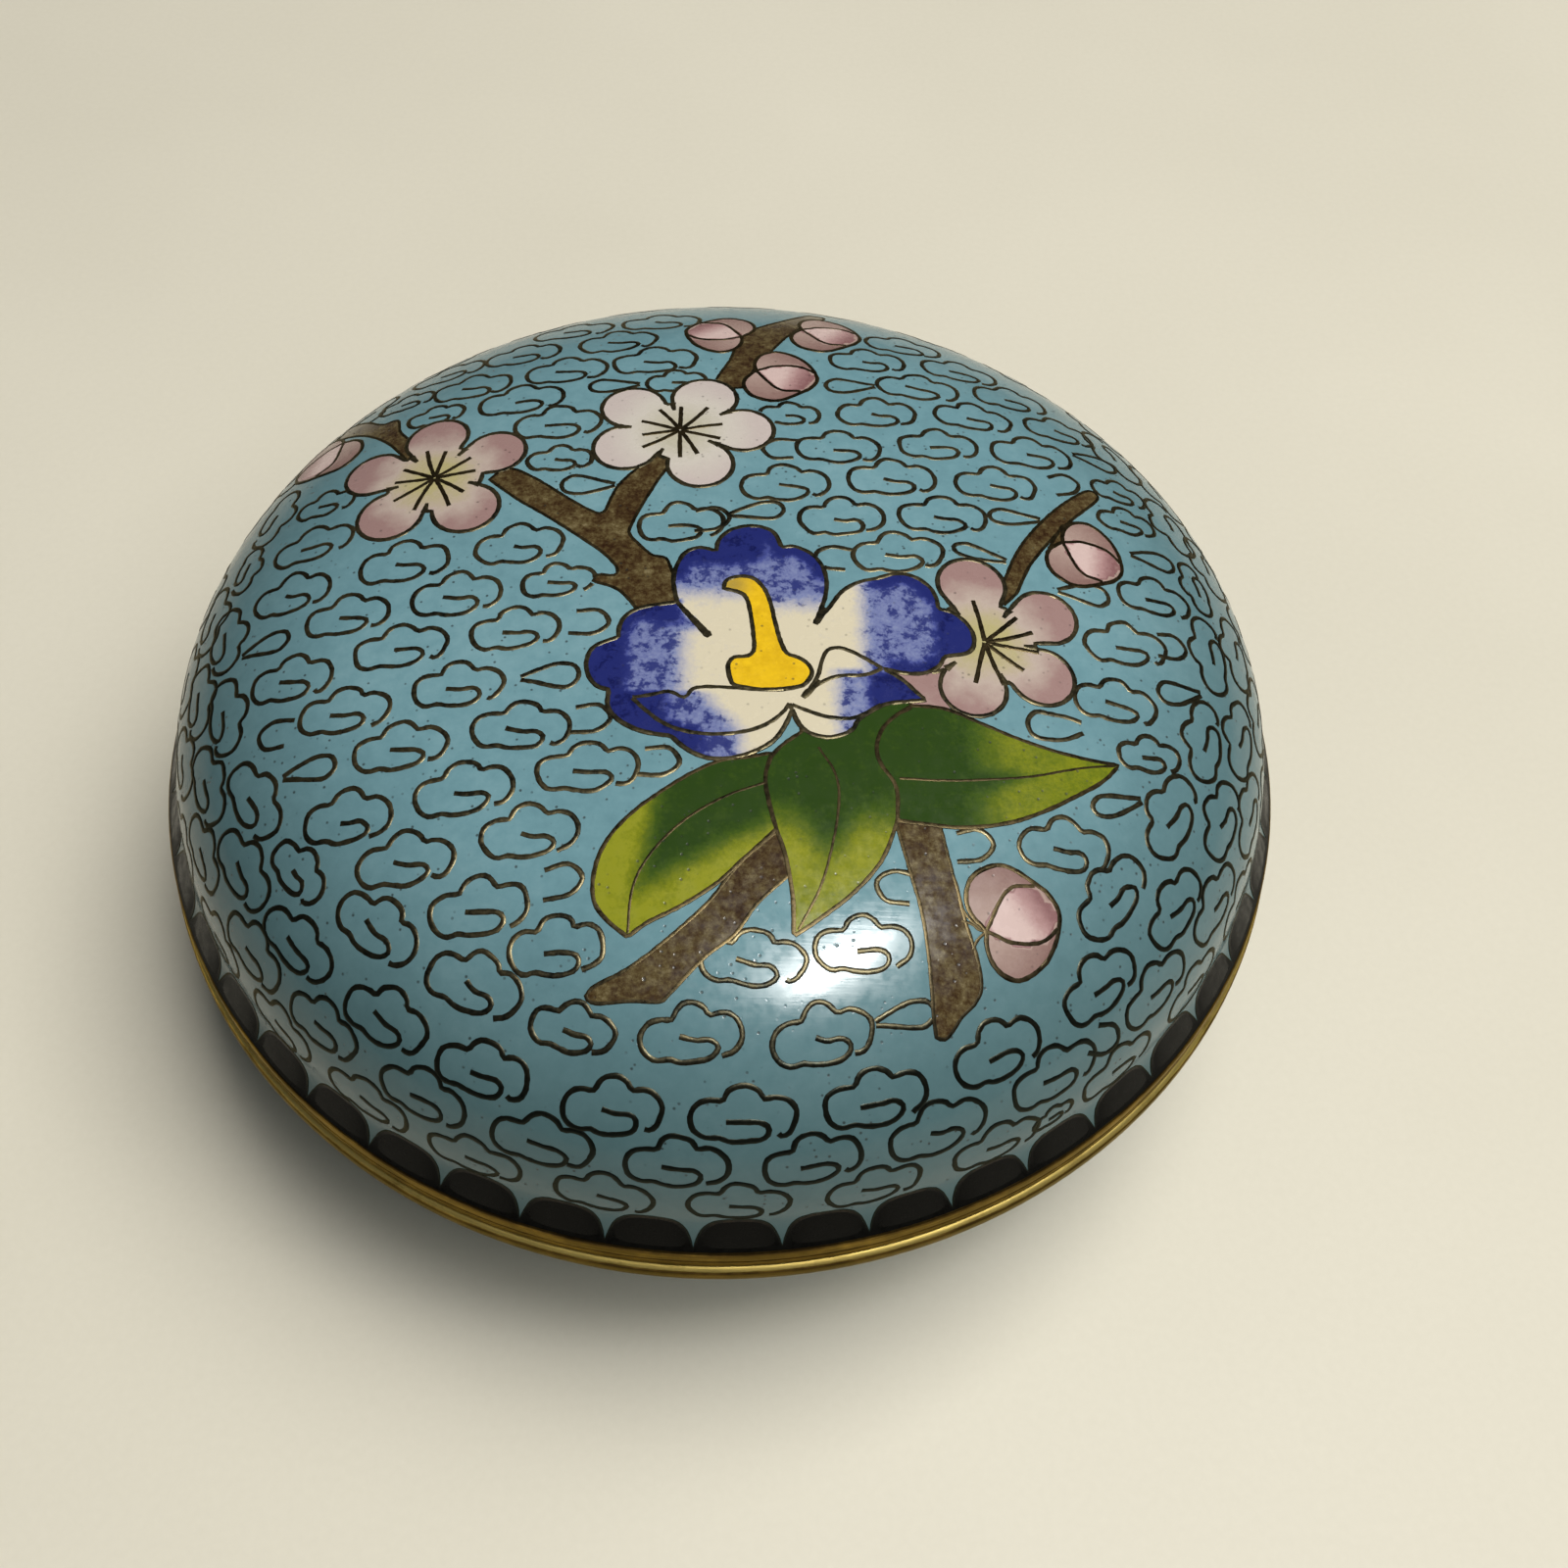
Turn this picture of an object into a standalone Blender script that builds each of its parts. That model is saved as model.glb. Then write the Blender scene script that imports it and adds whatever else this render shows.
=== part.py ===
"""Round cloisonne enamel box with a domed lid, in metres, standing on its foot at z = 0.

Five solids: the enamelled base bowl with its foot ring and mouth rim, and the enamelled lid dome
with its own rim. The lid rests on the base and lifts off. Every piece is turned about the z axis.
"""
import math

import bmesh
import bpy

# Enamelled copper body
BODY_RADIUS = 0.0490        # outside of the enamelled wall, above its flared edge
WALL = 0.0019               # copper with enamel on both faces
DOME_RISE = 0.0207          # lid wall, from the top of its rim to the crown
FLARE_REACH = 0.00145       # how far each wall's edge sweeps out over its rim
FLARE_HEIGHT = 0.0032       # of that sweep, from the rim
DOME_SQUARENESS = 2.75      # exponent of the lid's section: 2 is an ellipse, more is boxier
BOWL_DEPTH = 0.0165         # base wall, from its mouth edge down to its underside
BOWL_SQUARENESS = 2.20

# Brass rims
RIM_STAND_OUT = 0.00055     # how far the base rim's outer face stands out past the flared edge
LID_RIM_SETBACK = 0.0004    # how far the lid rim's face stands back from the base rim's
LID_RIM_HEIGHT = 0.00255    # above the seam
BASE_RIM_HEIGHT = 0.00240   # below the seam
LEDGE = 0.00120             # thickness of the flange that holds each wall's edge
RIM_FILLET = 0.00045        # rounding of the rims' outer edges
COLLAR_WALL = 0.0008        # upright collar of the base, which the lid drops over
COLLAR_HEIGHT = 0.0042      # above the seam
COLLAR_FILLET_SHARE = 0.45  # of the collar's wall, on its top outer edge
LID_CLEARANCE = 0.0004      # between the collar and the inside of the lid

# Brass foot, under the edge of the bowl's flat round underside
FOOT_RADIUS = 0.0285
FOOT_WIDTH = 0.0020
FOOT_HEIGHT = 0.0022
FOOT_FILLET = 0.00045

JOINT_GAP = 0.0003          # kept between pieces that touch

TURN_STEPS = 60
DOME_STEPS = 12
BOWL_STEPS = 9
LINING_STEPS = 7
FLARE_STEPS = 3
FILLET_STEPS = 2

FLOOR_RADIUS = FOOT_RADIUS
UNDERSIDE = FOOT_HEIGHT + JOINT_GAP
SEAT = LEDGE + JOINT_GAP    # from the seam to each wall's edge
SEAM = UNDERSIDE + BOWL_DEPTH + SEAT
SOCKET_RADIUS = BODY_RADIUS + JOINT_GAP
LINING_RADIUS = BODY_RADIUS - WALL
RIM_RADIUS = BODY_RADIUS + FLARE_REACH + RIM_STAND_OUT  # the widest place on the box
LID_RIM_RADIUS = RIM_RADIUS - LID_RIM_SETBACK


def clear_scene():
    for old in list(bpy.data.objects):
        bpy.data.objects.remove(old)


def make_material(name, color, roughness, metallic):
    material = bpy.data.materials.new(name)
    material.use_nodes = True
    shader = material.node_tree.nodes["Principled BSDF"]
    shader.inputs["Base Color"].default_value = (*color, 1.0)
    shader.inputs["Roughness"].default_value = roughness
    shader.inputs["Metallic"].default_value = metallic
    return material


def curve_section(flat_radius, radius, rise, squareness, steps):
    """(r, z) points from the mouth (radius, 0) to (flat_radius, rise) on a quarter superellipse."""
    points = []
    for step in range(steps + 1):
        angle = 0.5 * math.pi * step / steps
        reach = max(math.cos(angle), 0.0) ** (2.0 / squareness)
        height = math.sin(angle) ** (2.0 / squareness)
        if step == steps:
            reach = 0.0
        points.append((flat_radius + (radius - flat_radius) * reach, rise * height))
    return points


def wall_outside(flat_radius, start, rise, squareness, steps, rim_height):
    """(r, z) points up a wall's outside from its seat in the rim, with z counted from the seam.

    The wall's own section starts at the height start. Its edge sweeps out over the rim.
    """
    foot = rim_height + JOINT_GAP
    top = rim_height + FLARE_HEIGHT
    points = [(BODY_RADIUS, SEAT), (BODY_RADIUS, foot)]
    for step in range(FLARE_STEPS + 1):
        height = foot + (top - foot) * step / FLARE_STEPS
        share = (height - start) / rise
        reach = (1.0 - share ** squareness) ** (1.0 / squareness)
        sweep = FLARE_REACH * ((top - height) / FLARE_HEIGHT) ** 2
        points.append((flat_radius + (BODY_RADIUS - flat_radius) * reach + sweep, height))
    curve = curve_section(flat_radius, BODY_RADIUS, rise, squareness, steps)
    return points + [(r, start + z) for r, z in curve if start + z > top]


def rounded(corner, before, after, radius):
    """Points of a fillet of the given radius at a square corner between two neighbours."""
    def toward(point):
        length = math.dist(corner, point)
        return ((point[0] - corner[0]) / length, (point[1] - corner[1]) / length)

    into, out = toward(before), toward(after)
    centre = (corner[0] + radius * (into[0] + out[0]), corner[1] + radius * (into[1] + out[1]))
    points = []
    for step in range(FILLET_STEPS + 1):
        angle = 0.5 * math.pi * step / FILLET_STEPS
        along_in, along_out = math.cos(angle), math.sin(angle)
        points.append((centre[0] - radius * (out[0] * along_in + into[0] * along_out),
                       centre[1] - radius * (out[1] * along_in + into[1] * along_out)))
    return points


def section(corners, fillets):
    """A closed outline of (r, z) points; fillets maps a corner's index to its radius."""
    outline = []
    for index, corner in enumerate(corners):
        if index in fillets:
            before = corners[index - 1]
            after = corners[(index + 1) % len(corners)]
            outline += rounded(corner, before, after, fillets[index])
        else:
            outline.append(corner)
    return outline


def turn(name, outline, material, parent, smooth_degrees=35.0):
    """Spins a closed outline of (r, z) points once round the z axis into one solid."""
    shape = bmesh.new()
    verts = [shape.verts.new((r, 0.0, z)) for r, z in outline]
    edges = [shape.edges.new((a, b)) for a, b in zip(verts, verts[1:] + verts[:1])
             if max(a.co.x, b.co.x) > 0.0]
    bmesh.ops.spin(shape, geom=verts + edges, axis=(0.0, 0.0, 1.0), cent=(0.0, 0.0, 0.0),
                   angle=2.0 * math.pi, steps=TURN_STEPS, use_merge=True)
    bmesh.ops.remove_doubles(shape, verts=shape.verts, dist=1e-6)
    bmesh.ops.recalc_face_normals(shape, faces=shape.faces)
    mesh = bpy.data.meshes.new(name)
    shape.to_mesh(mesh)
    shape.free()
    mesh.materials.append(material)
    mesh.shade_smooth()
    mesh.set_sharp_from_angle(angle=math.radians(smooth_degrees))
    piece = bpy.data.objects.new(name, mesh)
    bpy.context.scene.collection.objects.link(piece)
    piece.parent = parent
    return piece


def make_holder(name, height):
    """An empty at the seam's height that carries one half of the box."""
    holder = bpy.data.objects.new(name, None)
    holder.location = (0.0, 0.0, height)
    bpy.context.scene.collection.objects.link(holder)
    return holder


def make_lid_dome(material, parent):
    outline = wall_outside(0.0, LID_RIM_HEIGHT, DOME_RISE, DOME_SQUARENESS, DOME_STEPS,
                           LID_RIM_HEIGHT)
    inside = curve_section(0.0, LINING_RADIUS, DOME_RISE - WALL, DOME_SQUARENESS, LINING_STEPS)
    outline += [(r, LID_RIM_HEIGHT + z) for r, z in reversed(inside)] + [(LINING_RADIUS, SEAT)]
    return turn("lid_dome", outline, material, parent)


def make_lid_rim(material, parent):
    bottom = 0.5 * JOINT_GAP
    corners = [(LINING_RADIUS, bottom), (LID_RIM_RADIUS, bottom), (LID_RIM_RADIUS, LID_RIM_HEIGHT),
               (SOCKET_RADIUS, LID_RIM_HEIGHT), (SOCKET_RADIUS, LEDGE), (LINING_RADIUS, LEDGE)]
    return turn("lid_rim", section(corners, {1: RIM_FILLET, 2: RIM_FILLET}), material, parent)


def make_base_rim(material, parent):
    top = -0.5 * JOINT_GAP
    collar_outer = LINING_RADIUS - LID_CLEARANCE
    collar_inner = collar_outer - COLLAR_WALL
    corners = [(collar_outer, top), (collar_outer, COLLAR_HEIGHT), (collar_inner, COLLAR_HEIGHT),
               (collar_inner, -LEDGE), (SOCKET_RADIUS, -LEDGE), (SOCKET_RADIUS, -BASE_RIM_HEIGHT),
               (RIM_RADIUS, -BASE_RIM_HEIGHT), (RIM_RADIUS, top)]
    fillets = {1: COLLAR_FILLET_SHARE * COLLAR_WALL, 6: RIM_FILLET, 7: RIM_FILLET}
    return turn("base_rim", section(corners, fillets), material, parent)


def make_base_bowl(material, parent):
    outside = wall_outside(FLOOR_RADIUS, SEAT, BOWL_DEPTH, BOWL_SQUARENESS, BOWL_STEPS,
                           BASE_RIM_HEIGHT)
    inside = curve_section(FLOOR_RADIUS, LINING_RADIUS, BOWL_DEPTH - WALL, BOWL_SQUARENESS,
                           LINING_STEPS)
    outline = [(r, -z) for r, z in outside] + [(0.0, -SEAT - BOWL_DEPTH)]
    outline += [(0.0, -SEAT - BOWL_DEPTH + WALL)] + [(r, -SEAT - z) for r, z in reversed(inside)]
    return turn("base_bowl", outline, material, parent)


def make_foot_ring(material, parent):
    bottom = -SEAM
    top = bottom + FOOT_HEIGHT
    inner = FOOT_RADIUS - FOOT_WIDTH
    corners = [(inner, bottom), (FOOT_RADIUS, bottom), (FOOT_RADIUS, top), (inner, top)]
    return turn("foot_ring", section(corners, {0: FOOT_FILLET, 1: FOOT_FILLET}), material, parent)


def main():
    clear_scene()
    enamel = make_material("turquoise_enamel", (0.115, 0.345, 0.420), 0.22, 0.0)
    brass = make_material("gilt_brass", (0.640, 0.420, 0.130), 0.30, 1.0)
    base = make_holder("base", SEAM)
    lid = make_holder("lid", SEAM)
    make_base_bowl(enamel, base)
    make_foot_ring(brass, base)
    make_base_rim(brass, base)
    make_lid_rim(brass, lid)
    make_lid_dome(enamel, lid)


main()
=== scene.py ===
"""Looks of a round cloisonne enamel box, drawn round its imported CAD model.

The lid's picture is laid out on a map of the dome in millimetres: u runs to the right and v away
from the viewer, both counted along the surface from the crown. The base has such a map too, counted
from the middle of its underside. Wires and enamel cells are meshes wrapped onto these two walls.
"""
import bisect
import math
import random

import bpy
from mathutils import Matrix, Vector
from mathutils.geometry import delaunay_2d_cdt


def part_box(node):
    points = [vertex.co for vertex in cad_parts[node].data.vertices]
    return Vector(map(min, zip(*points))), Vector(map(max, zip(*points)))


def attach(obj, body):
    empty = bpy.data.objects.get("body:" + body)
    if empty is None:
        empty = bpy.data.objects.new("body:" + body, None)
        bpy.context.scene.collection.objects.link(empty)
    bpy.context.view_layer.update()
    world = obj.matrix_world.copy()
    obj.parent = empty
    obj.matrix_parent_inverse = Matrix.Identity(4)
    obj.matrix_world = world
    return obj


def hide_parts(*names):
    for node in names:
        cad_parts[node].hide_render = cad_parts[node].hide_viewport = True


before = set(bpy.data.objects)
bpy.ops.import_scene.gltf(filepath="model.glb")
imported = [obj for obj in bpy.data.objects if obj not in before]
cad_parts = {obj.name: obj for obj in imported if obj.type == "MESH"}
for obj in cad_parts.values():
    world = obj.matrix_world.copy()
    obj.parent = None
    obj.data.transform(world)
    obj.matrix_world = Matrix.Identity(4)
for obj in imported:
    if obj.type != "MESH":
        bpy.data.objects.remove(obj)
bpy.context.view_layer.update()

MM = 0.001

# Places taken from the CAD model, in metres
RIM_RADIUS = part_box("base_rim")[1].x
RIM_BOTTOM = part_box("base_rim")[0].z
COLLAR_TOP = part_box("base_rim")[1].z
LID_RIM_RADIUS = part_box("lid_rim")[1].x
LID_RIM_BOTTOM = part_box("lid_rim")[0].z
LID_RIM_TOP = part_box("lid_rim")[1].z
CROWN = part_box("lid_dome")[1].z
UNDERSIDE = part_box("base_bowl")[0].z
FOOT_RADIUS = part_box("foot_ring")[1].x
FOOT_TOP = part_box("foot_ring")[1].z

# Sizes of the walls' sections, as the CAD model has them
WALL = 1.9 * MM
FLARE_REACH = 1.45 * MM
FLARE_HEIGHT = 3.2 * MM
RIM_STAND_OUT = 0.55 * MM
DOME_SQUARENESS = 2.75
BOWL_SQUARENESS = 2.20
JOINT_GAP = 0.3 * MM
LEDGE = 1.2 * MM
COLLAR_WALL = 0.8 * MM
LID_CLEARANCE = 0.4 * MM
FOOT_WIDTH = 2.0 * MM
BODY_RADIUS = RIM_RADIUS - RIM_STAND_OUT - FLARE_REACH
LINING_RADIUS = BODY_RADIUS - WALL
SOCKET_RADIUS = BODY_RADIUS + JOINT_GAP
SEAM = LID_RIM_BOTTOM - 0.5 * JOINT_GAP

SKIN_DEPTH = 0.11 * MM      # the drawn enamel lies this far under the CAD model's skin
TURN_STEPS = 192
SECTION_STEPS = 84
LINING_STEPS = 30
FLARE_STEPS = 9

# Wires stand a hair proud of the enamel
WIRE_FOOT = -0.030 * MM
WIRE_SHOULDER = 0.016 * MM
WIRE_TOP = 0.034 * MM
WIRE_CORNERS = 5
WIRE_FLAT_TOP = 0.80        # the top's width as a share of the foot's
WIRE_WIDTH_PLAY = (0.90, 1.12)
WIRE_WANDER = 0.015         # mm to either side of the path

# How finely curves and enamel cells are divided
SPLINE_STEPS = 8
WIRE_STEP = 0.36            # mm between points along a wire
OUTLINE_STEP = 0.2          # mm between points of a thing's outline
CELL_STEP = 0.55            # mm between points inside a cell
CELL_ROW = 0.866            # height of a row of these points as a share of that
CELL_MARGIN = 0.55          # least distance from the edge as a share of that
CELL_DEPTH = -0.06 * MM     # of a cell's underside


def superellipse(flat_radius, radius, rise, squareness, steps):
    """(r, height) points from (flat_radius, rise) out to (radius, 0)."""
    points = []
    for step in range(steps + 1):
        angle = 0.5 * math.pi * step / steps
        reach = math.sin(angle) ** (2.0 / squareness)
        height = max(math.cos(angle), 0.0) ** (2.0 / squareness)
        points.append((flat_radius + (radius - flat_radius) * reach, rise * height))
    return points


def flared_section(flat_radius, rise, squareness, foot, flare_top):
    """A wall's outside as (r, height) from its middle to its flared edge at the height foot."""
    curve = superellipse(flat_radius, BODY_RADIUS, rise, squareness, SECTION_STEPS)
    points = [(r, height) for r, height in curve if height > flare_top]
    for step in range(FLARE_STEPS + 1):
        height = flare_top + (foot - flare_top) * step / FLARE_STEPS
        reach = (1.0 - (height / rise) ** squareness) ** (1.0 / squareness)
        sweep = FLARE_REACH * ((flare_top - height) / FLARE_HEIGHT) ** 2
        points.append((flat_radius + (BODY_RADIUS - flat_radius) * reach + sweep, height))
    return points


class Wall:
    """An enamelled wall's outer section, looked up by the distance along it from the axis."""

    def __init__(self, section, upward):
        self.section = section
        self.upward = upward
        self.along = [0.0]
        for (r0, z0), (r1, z1) in zip(section, section[1:]):
            self.along.append(self.along[-1] + math.hypot(r1 - r0, z1 - z0))
        self.length = self.along[-1]
        last = len(section) - 1
        self.normals = []
        for index in range(last + 1):
            before = section[max(index - 1, 0)]
            after = section[min(index + 1, last)]
            out = Vector((before[1] - after[1], after[0] - before[0]))
            self.normals.append(out.normalized() * upward)
        self.normals[0] = Vector((0.0, float(upward)))

    def locate(self, distance):
        """(radius, height, normal's r, normal's z) at a distance along the section."""
        distance = min(max(distance, 0.0), self.length)
        index = min(max(bisect.bisect_right(self.along, distance) - 1, 0), len(self.along) - 2)
        start, end = self.along[index], self.along[index + 1]
        share = (distance - start) / (end - start)
        (r0, z0), (r1, z1) = self.section[index], self.section[index + 1]
        normal = self.normals[index].lerp(self.normals[index + 1], share)
        return r0 + (r1 - r0) * share, z0 + (z1 - z0) * share, normal.x, normal.y

    def spot(self, u, v):
        """The point and the outward normal at map place (u, v), given in mm."""
        r, z, normal_r, normal_z = self.locate(math.hypot(u, v) * MM)
        azimuth = math.atan2(v, u)
        east, north = math.cos(azimuth), math.sin(azimuth)
        normal = Vector((normal_r * east, normal_r * north, normal_z)).normalized()
        return Vector((r * east, r * north, z)), normal

    def ring_place(self, azimuth, distance, x, y):
        """Map place of a point x mm round and y mm up from (azimuth in degrees, distance in mm)."""
        reach = distance - y * self.upward
        around = math.radians(azimuth) + x * MM / self.locate(distance * MM)[0]
        return reach * math.cos(around), reach * math.sin(around)


def lid_wall():
    rise = CROWN - SKIN_DEPTH - LID_RIM_TOP
    section = flared_section(0.0, rise, DOME_SQUARENESS, 0.5 * SKIN_DEPTH, FLARE_HEIGHT)
    return Wall([(r, LID_RIM_TOP + height) for r, height in section], 1)


def base_wall():
    mouth = SEAM - LEDGE - JOINT_GAP
    rise = mouth - UNDERSIDE - SKIN_DEPTH
    foot = RIM_BOTTOM - mouth
    section = flared_section(FOOT_RADIUS, rise, BOWL_SQUARENESS, -foot, FLARE_HEIGHT - foot)
    floor = [(0.0, UNDERSIDE + SKIN_DEPTH), (0.5 * FOOT_RADIUS, UNDERSIDE + SKIN_DEPTH)]
    return Wall(floor + [(r, mouth - height) for r, height in section], -1)


def placed(name, data):
    """A new object in the scene."""
    thing = bpy.data.objects.new(name, data)
    bpy.context.scene.collection.objects.link(thing)
    return thing


class Sheet:
    """Vertices, faces and one tone for each vertex, gathered for one mesh."""

    def __init__(self):
        self.verts = []
        self.faces = []
        self.tones = []

    def add(self, points, faces, tones=None):
        start = len(self.verts)
        self.verts += [tuple(point) for point in points]
        self.faces += [tuple(start + index for index in face) for face in faces]
        self.tones += tones if tones else [0.0] * len(points)

    def build(self, name, material, slot, replaced=(), smooth_degrees=40.0):
        mesh = bpy.data.meshes.new(name)
        mesh.from_pydata(self.verts, [], self.faces)
        tone = mesh.attributes.new("tone", "FLOAT", "POINT")
        tone.data.foreach_set("value", self.tones)
        mesh.materials.append(material)
        mesh.shade_smooth()
        mesh.set_sharp_from_angle(angle=math.radians(smooth_degrees))
        piece = placed(name, mesh)
        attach(piece, "root")
        if replaced:
            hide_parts(*replaced)
        return piece


def turned(outline):
    """Points and faces of a closed (r, z) outline, given clockwise, turned round the z axis."""
    points, faces, rings = [], [], []
    for r, z in outline:
        if r < 1e-7:
            rings.append([len(points)] * TURN_STEPS)
            points.append((0.0, 0.0, z))
            continue
        rings.append(list(range(len(points), len(points) + TURN_STEPS)))
        for step in range(TURN_STEPS):
            angle = 2.0 * math.pi * step / TURN_STEPS
            points.append((r * math.cos(angle), r * math.sin(angle), z))
    for ring, after in zip(rings, rings[1:] + rings[:1]):
        for step in range(TURN_STEPS):
            turn = (step + 1) % TURN_STEPS
            corners = list(dict.fromkeys([ring[step], ring[turn], after[turn], after[step]]))
            if len(corners) > 2:
                faces.append(corners[::-1])
    return points, faces


# Curves on the maps, in mm


def resample(points, spacing, closed=False):
    """Evenly spaced points along a polyline."""
    line = points + points[:1] if closed else points
    along = [0.0]
    for (x0, y0), (x1, y1) in zip(line, line[1:]):
        along.append(along[-1] + math.hypot(x1 - x0, y1 - y0))
    count = max(int(round(along[-1] / spacing)), 2)
    result = []
    for step in range(count if closed else count + 1):
        distance = along[-1] * step / count
        index = min(max(bisect.bisect_right(along, distance) - 1, 0), len(line) - 2)
        span = max(along[index + 1] - along[index], 1e-9)
        share = (distance - along[index]) / span
        (x0, y0), (x1, y1) = line[index], line[index + 1]
        result.append((x0 + (x1 - x0) * share, y0 + (y1 - y0) * share))
    return result


def spline(points):
    """A smooth open curve through a few points."""
    if len(points) < 3:
        return list(points)
    first = (2 * points[0][0] - points[1][0], 2 * points[0][1] - points[1][1])
    last = (2 * points[-1][0] - points[-2][0], 2 * points[-1][1] - points[-2][1])
    padded = [first] + list(points) + [last]
    result = []
    for a, b, c, d in zip(padded, padded[1:], padded[2:], padded[3:]):
        for step in range(SPLINE_STEPS):
            t = step / SPLINE_STEPS
            curve = []
            for axis in range(2):
                curve.append(0.5 * (2 * b[axis] + (c[axis] - a[axis]) * t
                                    + (2 * a[axis] - 5 * b[axis] + 4 * c[axis] - d[axis]) * t ** 2
                                    + (3 * b[axis] - a[axis] - 3 * c[axis] + d[axis]) * t ** 3))
            result.append(tuple(curve))
    return result + [tuple(points[-1])]


def joined(runs):
    """One closed outline from smooth runs that meet at corners."""
    outline = []
    for run in runs:
        outline += spline(run)[:-1]
    return outline


def rotated(points, degrees):
    """The points turned anticlockwise round (0, 0)."""
    east, north = math.cos(math.radians(degrees)), math.sin(math.radians(degrees))
    return [(x * east - y * north, x * north + y * east) for x, y in points]


def away_from(middle, reach, angle):
    """The place at a reach from a middle, in a direction in radians."""
    return middle[0] + reach * math.cos(angle), middle[1] + reach * math.sin(angle)


def along_wire(points):
    """A wire's path through a few points."""
    return resample(spline(points), WIRE_STEP)


def softened(points):
    """A polyline with its corners bent as a wire's are."""
    middle = []
    for a, b, c in zip(points, points[1:], points[2:]):
        middle.append((0.25 * a[0] + 0.5 * b[0] + 0.25 * c[0],
                       0.25 * a[1] + 0.5 * b[1] + 0.25 * c[1]))
    return [points[0]] + middle + [points[-1]]


class Area:
    """A closed outline on a map, with a quick test of what lies in it."""

    def __init__(self, outline):
        self.outline = outline
        self.low = (min(p[0] for p in outline), min(p[1] for p in outline))
        self.high = (max(p[0] for p in outline), max(p[1] for p in outline))

    def holds(self, point):
        x, y = point
        if not (self.low[0] < x < self.high[0] and self.low[1] < y < self.high[1]):
            return False
        inside = False
        x0, y0 = self.outline[-1]
        for x1, y1 in self.outline:
            if (y0 > y) != (y1 > y) and x < x0 + (y - y0) * (x1 - x0) / (y1 - y0):
                inside = not inside
            x0, y0 = x1, y1
        return inside

    def distance(self, point):
        """From a point to the nearest corner of the outline, in mm."""
        return min(math.dist(point, corner) for corner in self.outline)


def outline_area(outline):
    """The Area of a closed outline, evenly divided."""
    return Area(resample(outline, OUTLINE_STEP, closed=True))


# Wires and enamel cells on a wall

dice = random.Random(11)


def lay_wire(sheet, wall, path, width, lift=0.0, closed=False):
    """Adds a soldered wire along a path on the map. Its edges are a little uneven.

    Its width in mm is one number, or a list with one for each point.
    """
    count = len(path)
    widths = width if isinstance(width, list) else [width] * count
    spots = [wall.spot(*place) for place in path]
    points, faces = [], []
    for index, (spot, normal) in enumerate(spots):
        before = spots[index - 1][0] if closed or index else spot
        after = spots[(index + 1) % count][0] if closed or index < count - 1 else spot
        across = normal.cross(after - before).normalized()
        half = 0.5 * widths[index] * MM * dice.uniform(*WIRE_WIDTH_PLAY)
        spot = spot + across * dice.uniform(-WIRE_WANDER, WIRE_WANDER) * MM + normal * lift
        shoulder = half * WIRE_FLAT_TOP
        points += [spot - across * half + normal * WIRE_FOOT,
                   spot - across * shoulder + normal * WIRE_SHOULDER,
                   spot + normal * WIRE_TOP,
                   spot + across * shoulder + normal * WIRE_SHOULDER,
                   spot + across * half + normal * WIRE_FOOT]
    for index in range(count if closed else count - 1):
        here, there = index * WIRE_CORNERS, ((index + 1) % count) * WIRE_CORNERS
        for corner in range(WIRE_CORNERS):
            turn = (corner + 1) % WIRE_CORNERS
            faces.append((here + corner, there + corner, there + turn, here + turn))
    if not closed:
        faces.append(tuple(range(WIRE_CORNERS)))
        faces.append(tuple(range(count * WIRE_CORNERS - 1, (count - 1) * WIRE_CORNERS - 1, -1)))
    sheet.add(points, faces)


def lay_clipped(sheet, wall, path, width, covers, lift=0.0, closed=False):
    """Adds only the stretches of a wire that no cover hides."""
    shown = [not any(cover.holds(place) for cover in covers) for place in path]
    if all(shown):
        lay_wire(sheet, wall, path, width, lift, closed)
        return
    if closed and any(shown):
        first = shown.index(False)
        path = path[first:] + path[:first]
        shown = shown[first:] + shown[:first]
    run = []
    for place, seen in list(zip(path, shown)) + [(None, False)]:
        if seen:
            run.append(place)
        else:
            if len(run) > 2:
                lay_wire(sheet, wall, run, width, lift)
            run = []


def fill_cell(sheet, wall, outline, lift, tone_of):
    """Adds an enamel cell: a thin closed plate of the outline's shape, wrapped onto the wall.

    Its tone is tone_of(place), or 0 without that.
    """
    edge = resample(outline, WIRE_STEP, closed=True)
    area = Area(edge)
    flat = [Vector(place) for place in edge]
    rows = int((area.high[1] - area.low[1]) / (CELL_STEP * CELL_ROW)) + 1
    columns = int((area.high[0] - area.low[0]) / CELL_STEP) + 2
    for row in range(rows):
        for column in range(columns):
            place = (area.low[0] + (column - 0.5 * (row % 2)) * CELL_STEP,
                     area.low[1] + row * CELL_STEP * CELL_ROW)
            if area.holds(place) and area.distance(place) > CELL_MARGIN * CELL_STEP:
                flat.append(Vector(place))
    loop = [list(range(len(edge)))]
    found, _, triangles, *_ = delaunay_2d_cdt(flat, [], loop, 1, 1e-5)
    top, bottom, tones = [], [], []
    for place in found:
        spot, normal = wall.spot(place.x, place.y)
        top.append(spot + normal * lift)
        bottom.append(spot + normal * CELL_DEPTH)
        tones.append(tone_of((place.x, place.y)) if tone_of else 0.0)
    faces, uses = [], {}
    total = len(found)
    for triangle in triangles:
        a, b, c = [found[index] for index in triangle]
        if (b - a).cross(c - a) < 0.0:
            triangle = triangle[::-1]
        faces.append(tuple(triangle))
        faces.append(tuple(index + total for index in reversed(triangle)))
        for start, end in zip(triangle, triangle[1:] + triangle[:1]):
            uses[(start, end)] = True
    for start, end in uses:
        if (end, start) not in uses:
            faces.append((end, start, start + total, end + total))
    sheet.add(top + bottom, faces, tones + tones)


# The motifs of the ground

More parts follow.
